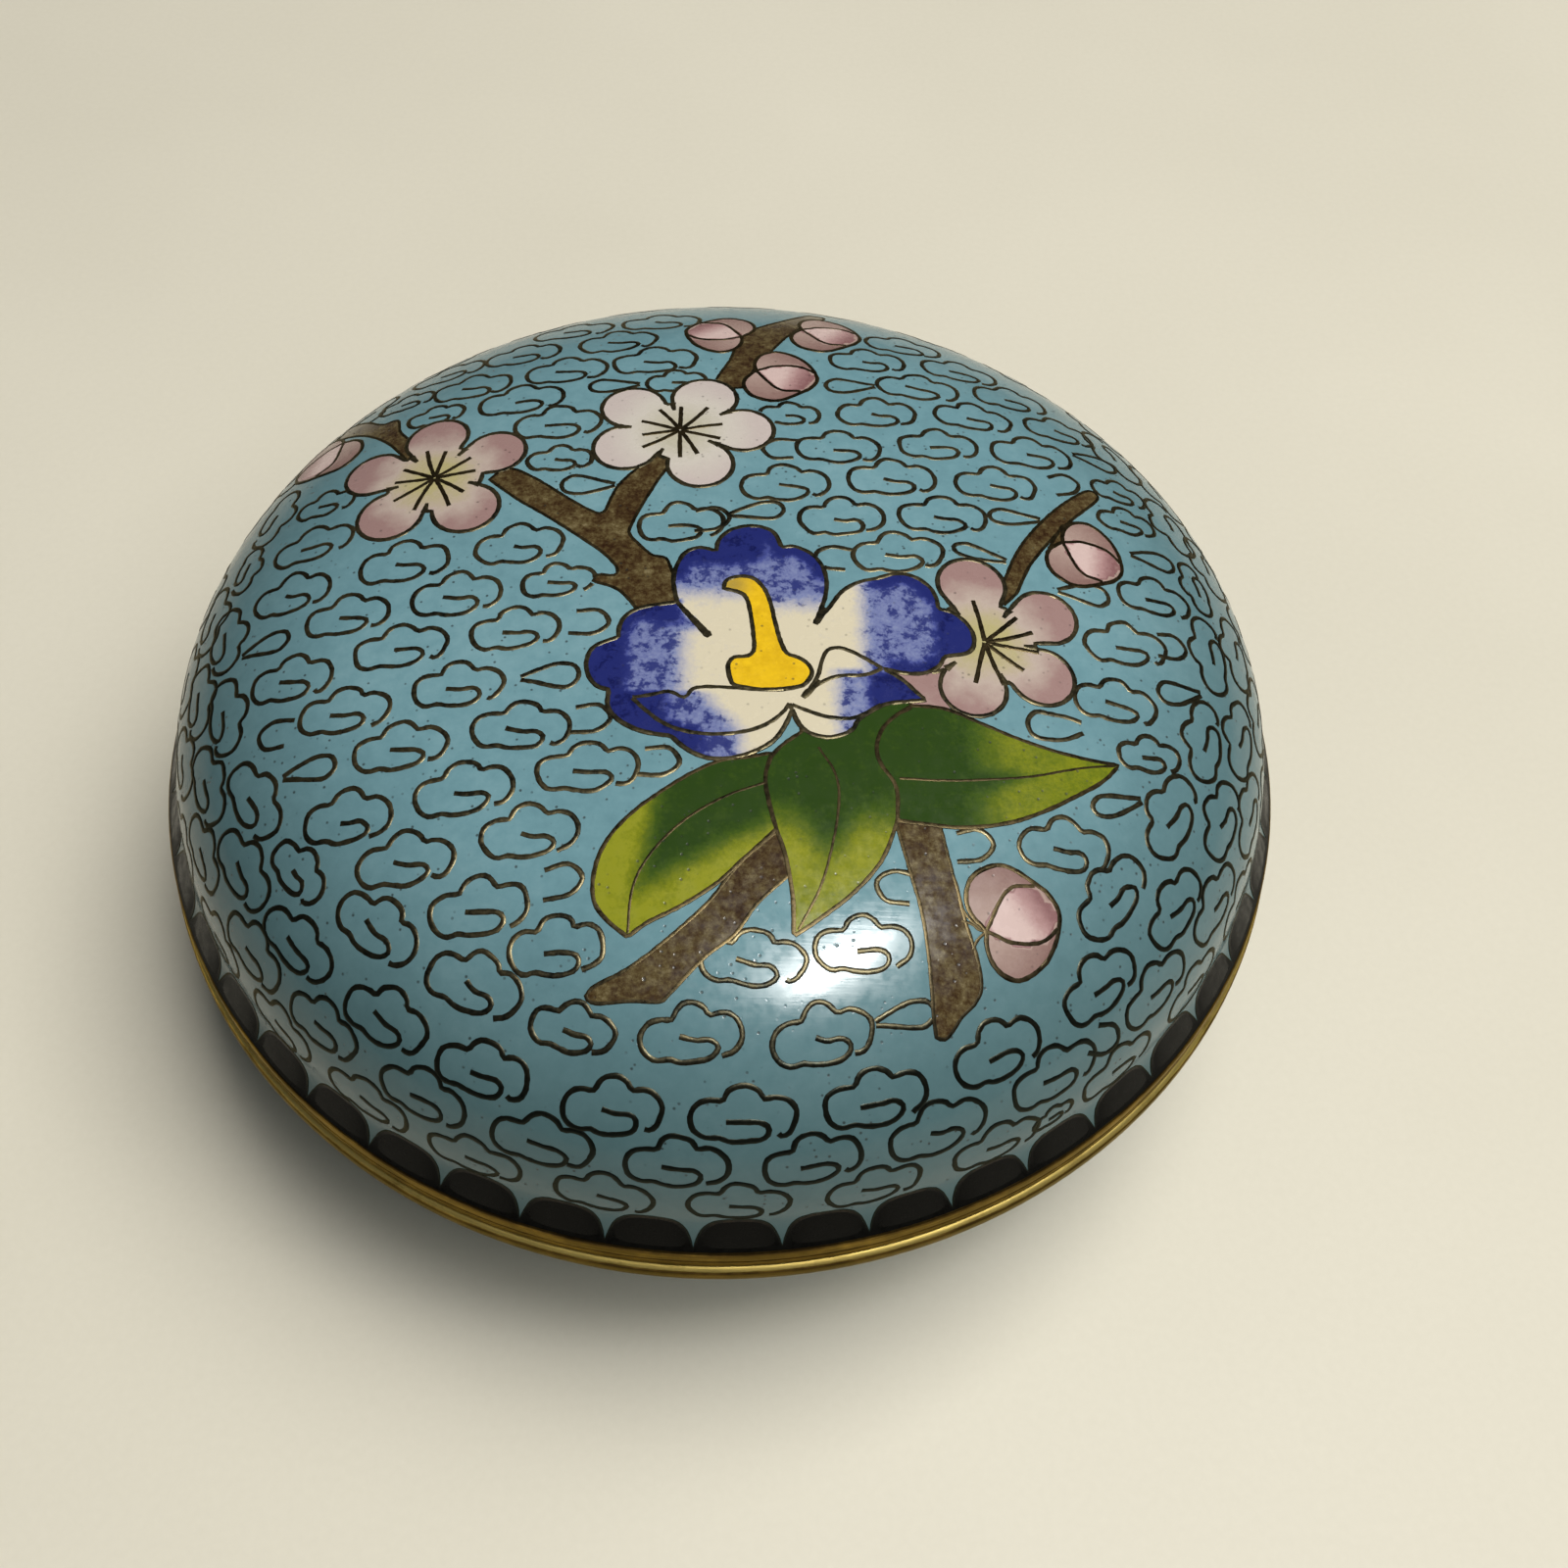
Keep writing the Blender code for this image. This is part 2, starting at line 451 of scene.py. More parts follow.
# One cloud scroll, from the tail of its curl round its three lobes
CLOUD_RUNS = [
    [(-1.1, -0.55), (0.3, -0.5), (1.4, -0.5), (2.05, -1.1), (1.55, -1.85), (0.4, -2.2),
     (-0.9, -2.2), (-1.7, -1.9)],
    [(-1.7, -1.9), (-2.7, -2.1), (-3.6, -1.55), (-4.0, -0.5), (-3.75, 0.6), (-2.8, 1.15),
     (-1.55, 1.1)],
    [(-1.55, 1.1), (-1.3, 1.85), (-0.6, 2.35), (0.3, 2.4), (1.1, 2.0), (1.45, 1.35)],
    [(1.45, 1.35), (2.4, 1.6), (3.4, 1.25), (4.0, 0.3), (3.85, -0.8), (3.2, -1.6), (2.45, -1.75)],
]
CLOUD_STEP = 0.25           # mm between a scroll's points while its corners are bent
TEAR_LENGTH = 4.7
HOOK_LENGTH, HOOK_WIDTH = 3.4, 2.4


def cloud_path(size=1.0, flat=1.0):
    """The wire of one cloud scroll, bent by hand and so a little different each time."""
    wide, high = dice.uniform(0.90, 0.99), dice.uniform(0.90, 1.0)
    tail_rise = dice.uniform(-0.05, 0.45)
    path = []
    for run in CLOUD_RUNS:
        bent = [run[0] if path else (run[0][0] + dice.uniform(-0.2, 0.6), run[0][1] + tail_rise)]
        bent += [(x + dice.uniform(-0.12, 0.12), y + dice.uniform(-0.10, 0.10))
                 for x, y in run[1:-1]]
        path += spline(bent + [run[-1]])
    path[-1] = (path[-1][0] + dice.uniform(-0.3, 0.3), path[-1][1] + dice.uniform(-0.1, 0.3))
    path = [(x * (size * wide), y * (size * high * flat))
            for x, y in softened(resample(path, CLOUD_STEP))]
    return rotated(path, dice.uniform(-5.0, 5.0))


def tear_path(direction, width, gap=0.15):
    """A teardrop's wire, with its tip towards a direction in degrees."""
    half = 0.5 * TEAR_LENGTH
    shape = [(half, gap), (0.45 * half, 0.16 * width + gap), (-0.15 * half, 0.44 * width)]
    shape += [(-0.62 * half, 0.49 * width), (-0.98 * half, 0.12 * width)]
    shape += [(-0.85 * half, -0.36 * width), (-0.30 * half, -0.50 * width)]
    shape += [(0.35 * half, -0.26 * width - gap), (half, -gap)]
    return rotated(spline(shape), direction + dice.uniform(-4.0, 4.0))


def hook_path(opening):
    """A small open scroll that opens towards a direction in degrees."""
    half, width = 0.5 * HOOK_LENGTH, HOOK_WIDTH
    shape = [(half, 0.45 * width), (-0.2 * half, 0.52 * width), (-0.95 * half, 0.1 * width)]
    shape += [(-0.5 * half, -0.48 * width), (0.6 * half, -0.5 * width)]
    return rotated(spline(shape), opening + dice.uniform(-8.0, 8.0))


# Upright cloud scrolls on the middle of the lid
UPRIGHT_CLOUDS = [
    (-31.8, -1.9), (-22.4, -0.9), (-37.5, 1.9), (-36.1, -7.6), (-26.7, -6.0),
    (-17.2, -5.0), (-30.9, -11.8), (-21.5, -10.4), (-25.8, -15.8), (-16.1, -14.7), (-29.8, -21.5),
    (-20.4, -20.1), (-10.7, -18.7), (-24.7, -25.7), (-15.0, -24.1), (-18.7, -30.0), (-12.7, -33.4),
    (-10.4, 33.8), (-6.7, 29.5), (-15.0, 28.6), (-24.0, 27.7), (-19.7, 33.2), (-18.9, 24.1),
    (-15.2, 20.0), (-36.4, 7.6), (-27.4, 3.3), (-17.5, 4.4), (-3.9, 6.6), (13.5, 30.7),
    (22.7, 31.4), (18.1, 26.6), (27.4, 27.7), (13.8, 21.7), (23.0, 22.7), (31.8, 23.7),
    (17.5, 35.4), (10.1, 16.4), (19.2, 17.7), (28.1, 18.4), (5.2, 11.5), (14.7, 12.7),
    (24.1, 13.0), (10.0, 7.5), (18.9, 8.3), (14.6, 3.5), (37.7, 2.1), (34.0, -4.2),
    (32.4, -10.4), (26.8, -24.3), (10.4, -33.4), (2.1, -34.6), (-6.4, 38.3), (-15.2, 38.0),
    (-27.3, 32.6),
]
# Scrolls between those and the rings, with their tops towards the crown
INWARD_CLOUDS = [
    (-41.6, 13.7), (-43.8, -1.0), (-42.4, -9.5), (-38.5, -18.3), (-26.8, -30.8), (-18.9, -35.8),
    (-2.5, -40.2), (7.3, -40.2), (30.7, -27.9), (36.6, -20.1), (40.7, -12.2), (42.8, -2.6),
    (41.8, 13.4), (37.3, 22.4), (-35.3, 28.0),
]
# Small scrolls as (u, v, size), upright and with their tops towards the crown
SMALL_CLOUDS = [
    (-27.0, 23.4, 0.74), (-4.6, 25.8, 0.74), (5.8, 20.9, 0.72), (-14.7, 14.9, 0.76),
    (-36.1, 12.9, 0.74), (36.5, 11.3, 0.76), (36.5, 15.6, 0.74), (-30.7, 27.7, 0.74),
    (-14.0, 0.1, 0.78), (35.0, -15.0, 0.78),
]
SMALL_INWARD_CLOUDS = [
    (-33.9, -25.3, 0.84), (-11.4, -39.5, 0.84), (-43.3, 7.3, 0.72),
    (42.8, 5.3, 0.78), (28.7, -46.4, 0.50),
]
# (u, v, direction of the tip in degrees, width, half the gap at the tip if it is wide)
TEARDROPS = [
    (-39.3, -3.4, 190, 2.1), (-14.1, -10.0, 180, 2.4), (-33.5, -16.9, 183, 2.1),
    (-12.0, 11.3, 0, 2.3), (-10.3, 25.3, 2, 2.0), (2.7, 7.9, 188, 2.0), (25.4, 8.8, 0, 1.8),
    (21.8, 3.9, -12, 1.5), (30.7, 0.6, 186, 2.3), (38.4, 6.9, 180, 2.1), (11.6, 25.7, 4, 2.2),
    (34.8, 19.7, 180, 2.0), (31.6, -20.1, 16, 1.8), (38.8, -8.1, 12, 2.2), (13.6, -38.7, 195, 2.0),
    (26.7, -13.7, 3, 2.6, 0.5),
]
# (u, v, direction it opens to in degrees)
HOOKS = [
    (-37.0, -12.9, 0), (-11.2, -4.5, 180), (-10.7, -14.2, 180), (-5.2, -18.3, 180),
    (-12.4, -28.3, 190), (9.2, 2.6, 0), (4.9, 15.9, 0), (30.7, 14.5, 205),
    (13.1, -28.8, 0), (38.5, -3.3, 195), (-1.3, 7.0, 190), (31.5, -39.3, 180),
    (19.2, -25.0, 200),
]
SIDE_DIP = 0.9              # mm by which the first ring hangs lower at the sides and back
BACK_AZIMUTHS = [12.1, 24.8, 37.4, 50.1, 62.7, 75.4, 88.0, 100.6, 113.3, 125.9, 138.6, 151.2, 163.9]
# Each ring's distance from the crown and its dip in mm, and its scrolls' azimuths in degrees
LID_RINGS = [
    (46.1, SIDE_DIP, [
        176.5, 187.5, 198.9, 211.0, 222.4, 234.8, 246.3, 259.5, 271.8, 284.4, 297.7, 310.5,
        323.4, 336.0, 347.5, 359.5, *BACK_AZIMUTHS]),
    (50.2, 0.0, [
        217.5, 228.8, 241.0, 253.5, 265.6, 277.8, 290.0, 302.3, 316.5, 328.5, 340.5, 353.5,
        5.8, 18.4, 31.1, 43.8, 56.4, 69.1, 81.7, 94.3, 107.0, 119.6, 132.2, 144.9, 157.5,
        170.2, 182.0, 193.2, 205.0]),
    (54.3, 0.0, [
        223.5, 235.5, 247.0, 259.1, 271.5, 283.6, 295.8, 310.0, 321.7, 333.8, 347.0, 359.6,
        *BACK_AZIMUTHS, 176.2, 187.7, 199.2, 211.3]),
]
CLOUD_WIDTH = 0.50
CLOUD_REACH = (6.2, 3.4)    # half width and half height kept free round a scroll's middle


def cloud_is_free(wall, azimuth, distance, others):
    """Whether a ring's scroll keeps clear of the scrolls listed one by one."""
    radius = wall.locate(distance * MM)[0] / MM
    for u, v in others:
        gap = (math.degrees(math.atan2(v, u)) - azimuth + 180.0) % 360.0 - 180.0
        across = math.radians(gap) * radius / CLOUD_REACH[0]
        outward = (math.hypot(u, v) - distance) / CLOUD_REACH[1]
        if across ** 2 + outward ** 2 < 1.0:
            return False
    return True


def ring_clouds(sheet, wall, distance, azimuths, covers, others=(), flat=1.0, dip=0.0):
    """A ring of scrolls, which hangs lower by dip at the sides and back than in front."""
    for azimuth in azimuths:
        sunk = dip * ease(0.9 + 0.9 * math.sin(math.radians(azimuth)))
        azimuth += dice.uniform(-0.3, 0.3)
        place = distance + sunk + dice.uniform(-0.15, 0.15)
        path = cloud_path(flat=flat)
        if cloud_is_free(wall, azimuth, place, others):
            path = [wall.ring_place(azimuth, place, x, y) for x, y in path]
            lay_clipped(sheet, wall, resample(path, WIRE_STEP), CLOUD_WIDTH, covers)


def lid_ground_wires(wall, covers, material):
    """The scrolls, teardrops and hooks of the lid, where no cover hides them."""
    sheet = Sheet()

    def lay(path):
        lay_clipped(sheet, wall, resample(path, WIRE_STEP), CLOUD_WIDTH, covers)

    def lay_upright(u, v, path):
        lay([(u + x, v + y) for x, y in path])

    def lay_inward(u, v, path):
        azimuth, distance = math.degrees(math.atan2(v, u)), math.hypot(u, v)
        lay([wall.ring_place(azimuth, distance, x, y) for x, y in path])

    for u, v, *size in UPRIGHT_CLOUDS + SMALL_CLOUDS:
        lay_upright(u, v, cloud_path(*size))
    for u, v, *size in INWARD_CLOUDS + SMALL_INWARD_CLOUDS:
        lay_inward(u, v, cloud_path(*size))
    for u, v, direction, width, *gap in TEARDROPS:
        lay_upright(u, v, tear_path(direction, width, *gap))
    for u, v, opening in HOOKS:
        lay_upright(u, v, hook_path(opening))
    others = INWARD_CLOUDS + UPRIGHT_CLOUDS
    for distance, dip, azimuths in LID_RINGS:
        ring_clouds(sheet, wall, distance, azimuths, covers, others, dip=dip)
    sheet.build("lid_cloud_wires", material, "gilt_brass")


# The scalloped border, which is the same on both walls
SCALLOP_COUNT = 46
SCALLOP_FIRST = -92.75      # azimuth of a gap between two scallops, in degrees
SCALLOP_HEIGHT = 3.35       # mm up the wall
SCALLOP_GAP_HEIGHT = 0.35
SCALLOP_FILL = 0.96         # a scallop's width as a share of its pitch
SCALLOP_SQUARENESS = 3.0
BORDER_STEPS = SCALLOP_COUNT * 24
BORDER_ROWS = 6
BORDER_LIFT = 0.018 * MM
BORDER_WIDTH = 0.20         # of its wire, in mm


def scallop_height(azimuth):
    """Height of the black enamel in mm at an azimuth in degrees."""
    turn = (azimuth - SCALLOP_FIRST) * SCALLOP_COUNT / 360.0
    across = 2.0 * (turn - math.floor(turn)) - 1.0
    crown = max(1.0 - (abs(across) / SCALLOP_FILL) ** SCALLOP_SQUARENESS, 0.0)
    return max(SCALLOP_GAP_HEIGHT, SCALLOP_HEIGHT * crown ** 0.5)


def border(name, wall, material, wire_material):
    """The black scallops along a wall's edge, and the wire that edges them."""
    enamel, wires = Sheet(), Sheet()
    points, faces, tones, path = [], [], [], []
    for step in range(BORDER_STEPS):
        azimuth = SCALLOP_FIRST + 360.0 * step / BORDER_STEPS
        east, north = math.cos(math.radians(azimuth)), math.sin(math.radians(azimuth))
        height = scallop_height(azimuth)
        rises = [height * row / (BORDER_ROWS - 1) for row in range(BORDER_ROWS)]
        places = []
        for rise in rises:
            reach = wall.length / MM - rise
            places.append((reach * east, reach * north))
        spots = [wall.spot(*place) for place in places]
        points += [spot + normal * BORDER_LIFT for spot, normal in spots]
        points += [spot + normal * CELL_DEPTH for spot, normal in (spots[-1], spots[0])]
        tones += [rise / SCALLOP_HEIGHT for rise in rises] + [0.0, 0.0]
        path.append(places[-1])
    stride = BORDER_ROWS + 2
    for step in range(BORDER_STEPS):
        here, there = step * stride, ((step + 1) % BORDER_STEPS) * stride
        for row in range(stride):
            turn = (row + 1) % stride
            face = (here + row, there + row, there + turn, here + turn)
            faces.append(face if wall.upward > 0 else face[::-1])
    enamel.add(points, faces, tones)
    enamel.build(name + "_border_enamel", material, "turquoise_enamel")
    lay_wire(wires, wall, path, BORDER_WIDTH, closed=True)
    wires.build(name + "_border_wires", wire_material, "gilt_brass")


# The lid's picture. Each outline is a loop of smooth runs that meet at corners.

COROLLA = [
    [(-4.0, -2.5), (-4.35, -0.2), (-4.1, 1.5), (-3.4, 3.0), (-2.2, 3.6), (-0.8, 3.2)],
    [(-0.8, 3.2), (-0.55, 4.5), (0.5, 5.7), (2.3, 6.15), (4.0, 5.5), (4.75, 3.7)],
    [(4.75, 3.7), (6.0, 3.75), (7.5, 2.7), (8.35, 0.8), (8.3, -1.6), (7.4, -4.7)],
    [(7.4, -4.7), (8.7, -2.8), (9.7, -1.2), (11.2, -0.1), (12.8, 0.4), (14.2, 0.95),
     (15.7, 0.8), (17.0, -0.2), (17.6, -1.5), (17.7, -2.7)],
    [(17.7, -2.7), (18.8, -3.0), (20.0, -4.1), (20.5, -5.6), (20.0, -7.1), (17.9, -7.7)],
    [(17.9, -7.7), (17.3, -8.8), (16.1, -9.5), (14.6, -9.6), (12.7, -9.2)],
    [(12.7, -9.2), (14.2, -10.2), (15.4, -11.5), (16.1, -12.2)],
    [(16.1, -12.2), (14.6, -12.4), (12.9, -12.7), (11.6, -13.5), (10.5, -14.4), (10.1, -15.2),
     (9.2, -15.8), (7.9, -16.05), (6.5, -15.6), (5.7, -14.6), (5.3, -13.4)],
    [(5.3, -13.4), (4.75, -14.9), (3.8, -16.4), (2.4, -17.4), (0.8, -18.0), (-0.8, -18.15),
     (-2.3, -17.7), (-3.4, -16.9), (-4.3, -16.0)],
    [(-4.3, -16.0), (-6.0, -15.7), (-7.5, -15.1), (-8.7, -14.2), (-9.35, -13.0), (-9.3, -11.5)],
    [(-9.3, -11.5), (-10.3, -11.1), (-11.0, -10.0), (-11.2, -8.5), (-10.6, -7.1), (-8.7, -6.2)],
    [(-8.7, -6.2), (-8.7, -5.2), (-8.3, -4.1), (-7.4, -3.3), (-6.2, -2.9), (-4.0, -2.5)],
]
COROLLA_MIDDLE = (4.2, -8.0)
# Wires inside the corolla, each with its width in mm
COROLLA_WIRES = [
    ([(12.7, -9.2), (11.4, -8.3), (10.3, -7.6), (9.2, -7.2), (8.3, -7.5), (7.8, -8.6),
      (7.5, -9.9), (7.0, -11.0), (6.3, -12.1)], 0.42),
    ([(6.3, -12.1), (7.2, -11.2), (8.1, -10.5), (9.3, -10.05), (10.6, -10.0), (11.6, -9.8),
      (12.7, -9.2)], 0.42),
    ([(-7.4, -12.3), (-6.0, -12.1), (-4.5, -11.75), (-3.3, -12.35), (-2.6, -11.5), (-1.4, -11.3),
      (0.6, -11.4), (3.0, -11.6), (5.0, -11.5), (6.3, -11.1)], 0.40),
    ([(-7.4, -12.4), (-6.2, -13.7), (-4.6, -15.0), (-2.6, -15.7), (-0.2, -15.85), (1.9, -15.5),
      (3.4, -14.8), (4.5, -13.8), (5.1, -12.9)], 0.42),
    ([(5.3, -13.0), (6.6, -13.6), (8.0, -14.1), (9.6, -14.25), (10.8, -13.9), (12.4, -12.8)],
     0.42),
    ([(5.1, -12.9), (5.3, -13.6)], 0.42),
]
# Thick blunt ends of the wires that run into the corolla: path and its widths at both ends
COROLLA_TONGUES = [
    ([(-4.0, -2.5), (-3.1, -3.8), (-2.2, -5.0), (-1.3, -6.2)], 0.42, 0.85),
    ([(8.2, -3.0), (7.8, -3.9), (7.35, -4.8)], 0.55, 0.85),
    ([(7.6, -10.6), (6.9, -11.4), (6.15, -12.3)], 0.45, 0.80),
]
BLUNT_END = 0.6             # width of their very end as a share of the width before it
PISTIL = [
    [(-0.15, -1.0), (0.0, -0.2), (0.7, 0.25), (1.7, 0.35), (2.6, -0.1), (3.3, -1.2), (3.75, -2.8),
     (4.1, -4.8), (4.5, -6.7), (5.0, -7.9), (5.9, -8.3), (6.7, -9.0), (6.95, -10.0), (6.3, -11.1)],
    [(6.3, -11.1), (4.4, -11.5), (2.4, -11.5), (0.55, -11.1)],
    [(0.55, -11.1), (0.25, -9.9), (0.25, -8.9), (0.75, -8.3), (1.7, -8.2), (2.3, -7.6),
     (2.25, -5.6), (2.0, -3.4), (1.7, -2.0), (1.1, -1.4), (-0.15, -1.0)],
]
# The edge along which the middle leaf lies over the right one
LEAF_OVERLAP = [(13.3, -23.3), (13.3, -20.4), (12.2, -18.4), (11.9, -16.8), (12.5, -15.0),
                (13.7, -13.7), (14.9, -12.8)]
LEFT_LEAF = [
    [(3.6, -17.6), (1.6, -18.0), (-0.3, -18.3), (-2.4, -19.3), (-4.9, -21.0), (-7.2, -22.9),
     (-9.0, -25.1), (-9.9, -27.6), (-9.9, -29.9), (-9.0, -31.4), (-7.3, -32.9)],
    [(-7.3, -32.9), (-5.8, -31.8), (-3.4, -30.6), (-0.8, -28.9), (1.4, -26.8), (3.9, -24.3)],
    [(3.9, -24.3), (3.4, -22.0), (3.1, -19.8), (3.6, -17.6)],
]
MIDDLE_LEAF = [
    [(6.0, -15.6), (4.4, -16.9), (3.5, -18.2), (3.1, -20.2), (3.6, -23.2), (4.6, -26.6),
     (5.1, -30.0), (5.15, -32.9)],
    [(5.15, -32.9), (7.0, -31.6), (9.8, -29.3), (12.0, -26.6), (13.3, -23.3)],
    LEAF_OVERLAP + [(13.5, -11.6)],
    [(13.5, -11.6), (9.0, -13.4), (6.0, -14.6)],
    [(6.0, -14.6), (6.0, -15.6)],
]
RIGHT_LEAF = [
    [(14.9, -12.8), (17.4, -12.9), (20.0, -13.9), (22.9, -15.1), (26.0, -16.0), (29.2, -16.5),
     (32.0, -16.6)],
    [(32.0, -16.6), (30.4, -18.3), (27.9, -20.0), (24.8, -21.8), (21.8, -23.0), (18.4, -23.6),
     (15.6, -23.5), (13.3, -23.3)],
    LEAF_OVERLAP,
]
LEAF_VEINS = [
    [(3.0, -20.3), (0.0, -21.5), (-3.2, -23.6), (-5.8, -26.5), (-7.0, -29.2), (-7.3, -32.6)],
    [(7.3, -17.0), (8.5, -19.2), (8.8, -21.5), (8.3, -25.0), (7.2, -29.0), (5.5, -32.4)],
    [(13.6, -19.6), (17.0, -19.6), (20.4, -19.3), (24.5, -18.6), (28.5, -17.4), (31.6, -16.7)],
]
BRANCHES = [
    [[(-20.8, 12.6), (-19.3, 13.9), (-17.0, 12.6), (-13.6, 9.6), (-11.2, 7.8), (-10.4, 7.9)],
     [(-10.4, 7.9), (-9.5, 10.8), (-8.1, 12.9), (-6.2, 15.0)],
     [(-6.2, 15.0), (-4.8, 14.4), (-5.9, 11.8), (-7.1, 9.0), (-8.1, 6.2), (-8.2, 5.2),
      (-7.2, 3.8), (-6.2, 2.75), (-5.2, 2.5), (-4.7, 1.6), (-3.6, -2.6)],
     [(-3.6, -2.6), (-6.0, -4.4), (-7.4, -3.1)],
     [(-7.4, -3.1), (-8.2, -1.9), (-9.2, -0.9), (-11.1, -0.1)],
     [(-11.1, -0.1), (-10.6, 0.6), (-9.3, 0.5), (-9.1, 1.3), (-10.2, 2.9), (-12.0, 4.6),
      (-15.2, 7.4), (-18.2, 9.9), (-20.8, 12.6)]],
    [[(-1.4, 24.6), (-0.6, 26.8), (0.4, 29.4), (0.9, 32.0), (1.2, 34.2), (3.5, 36.6), (6.0, 38.9),
      (8.6, 41.8)],
     [(8.6, 41.8), (10.0, 41.0), (7.6, 37.3), (5.8, 34.2), (4.3, 31.2), (2.8, 28.2), (1.5, 24.6)],
     [(1.5, 24.6), (-1.4, 24.6)]],
    [[(-28.6, 16.3), (-29.6, 17.9), (-31.5, 20.5), (-34.4, 23.2), (-38.0, 25.2)],
     [(-38.0, 25.2), (-37.2, 27.4), (-34.8, 26.2), (-32.6, 24.2), (-30.9, 24.1), (-30.2, 21.6),
      (-28.3, 19.0)],
     [(-28.3, 19.0), (-28.6, 16.3)]],
    [[(22.9, -2.3), (23.1, -0.9), (23.8, 1.3), (25.3, 4.8), (27.4, 8.1), (29.8, 11.1), (32.5, 13.9),
      (33.5, 14.4), (34.0, 13.7), (33.0, 12.2), (30.6, 9.4), (28.2, 6.2), (26.1, 3.0),
      (24.6, -0.4)],
     [(24.6, -0.4), (22.9, -2.3)]],
    [[(4.0, -24.4), (1.0, -27.3), (-1.3, -30.3), (-4.2, -33.0), (-7.1, -35.2), (-9.9, -36.6)],
     [(-9.9, -36.6), (-10.4, -37.3), (-9.6, -37.8), (-7.0, -37.7), (-4.9, -37.8), (-4.1, -37.2),
      (-1.6, -34.6), (0.7, -32.8), (2.4, -30.4), (4.9, -28.0)],
     [(4.9, -28.0), (4.0, -24.4)]],
    [[(13.0, -22.8), (14.0, -27.0), (15.0, -31.0), (15.5, -35.0), (15.8, -38.4), (16.1, -40.2)],
     [(16.1, -40.2), (17.0, -40.1), (18.0, -38.6), (19.2, -37.3), (19.6, -36.0), (19.2, -33.8),
      (18.4, -31.4), (17.8, -28.8), (17.2, -26.4), (16.5, -22.8)],
     [(16.5, -22.8), (13.0, -22.8)]],
    [[(28.1, 5.4), (29.3, 6.0), (30.6, 6.6)],
     [(30.6, 6.6), (30.2, 7.6), (29.9, 8.9)],
     [(29.9, 8.9), (28.1, 5.4)]],
]
# The sliver of a fifth petal that shows between the corolla and the right blossom
WEDGE = [
    [(17.9, -7.6), (17.75, -8.8), (17.4, -9.9), (17.35, -11.1), (17.6, -12.1), (18.1, -13.0)],
    [(18.1, -13.0), (16.0, -13.4), (14.4, -12.0), (12.6, -9.6), (14.2, -8.6), (17.9, -7.6)],
]
WEDGE_TONE = 0.8
# Widths in mm of the thick wire ends where two petals meet, from the edge inwards
NOTCH_WIDTHS = [0.85, 0.74, 0.62, 0.54, 0.48, 0.40]
NOTCH_LENGTH = 1.15
NOTCH_OVERLAP = 0.15        # mm by which they start outside the petals' edge
BLOSSOM_STEPS = 720
BLOSSOM_RADIUS = 8.8
# name, middle, petals as (u, v, radius), notch distance, stamen directions, stamen length
BLOSSOMS = [
    ("white", (-4.1, 18.3),
     [(-8.4, 21.7, 2.9), (-1.95, 22.9, 2.95), (1.5, 18.4, 2.8), (-2.25, 13.8, 2.9),
      (-8.9, 16.1, 2.9)], 3.9, [120, 90, 50, 15, -18, -62, -90, -142, -170, 158], 3.7),
    ("left", (-25.8, 13.5),
     [(-26.3, 19.2, 2.9), (-20.6, 16.3, 2.75), (-22.6, 9.2, 2.95), (-29.4, 9.3, 3.0),
      (-31.7, 15.5, 2.8)], 4.3, [109, 81, 36, 7, -37, -64, -113, -144, 180, 150], 3.9),
    ("right", (21.4, -5.95),
     [(20.75, 0.2, 2.9), (26.9, -2.7, 2.75), (26.0, -9.0, 2.8), (20.1, -10.7, 2.75),
      (16.4, -6.6, 2.8)], 4.3, [97, 44, 16, -9, -42, -76, -105], 4.2),
]
# One bud in mm, with its stem at the origin and its tip towards +x: the edge of all three lobes,
# both sides of its front lobe, that lobe's outline, and its wires
BUD_EDGE = [
    [(0.00, 0.00), (-0.68, 1.36), (-0.85, 2.35), (-0.53, 3.40), (0.22, 4.32), (1.35, 4.76),
     (2.42, 4.85), (3.37, 4.51), (4.19, 3.79), (5.05, 2.85), (5.79, 2.00)],
    [(5.79, 2.00), (6.24, 0.92), (6.31, -0.05), (5.87, -1.17), (5.41, -1.97), (4.38, -3.12),
     (3.23, -3.81), (2.19, -4.12), (1.26, -4.10), (0.27, -3.38), (-0.22, -2.44), (-0.33, -1.26),
     (0.00, 0.00)],
]
BUD_UPPER = [(0.00, 0.00), (0.80, 0.91), (1.75, 1.97), (2.47, 2.59), (3.30, 2.91), (3.99, 2.80)]
BUD_LOWER = [(5.10, -1.45), (4.28, -1.73), (3.30, -1.69), (2.57, -1.52), (1.53, -1.15),
             (0.77, -0.55)]
BUD_TIP = [(4.97, 2.56), (5.76, 1.90), (6.24, 0.92), (6.31, -0.05), (5.95, -0.88)]
BUD_FRONT = BUD_UPPER + BUD_TIP + BUD_LOWER + BUD_UPPER[:1]
BUD_WIRES = [BUD_UPPER + [(4.98, 2.61)], [(5.86, -1.01)] + BUD_LOWER + BUD_UPPER[:1]]
BUD_LENGTH = 6.3
# (stem, direction of the tip in degrees, size, 1 or -1 if mirrored, side that is pink in degrees)
BUDS = [
    ((1.5, 34.0), 165, 0.88, -1, 130), ((7.4, 36.4), -8, 0.92, -1, -30),
    ((2.8, 27.5), -10, 0.92, -1, -20), ((-36.6, 23.4), 222, 0.95, 1, 170),
    ((29.5, 6.5), -24, 0.92, -1, -10), ((20.0, -31.9), 17, 1.0, 1, 40),
]
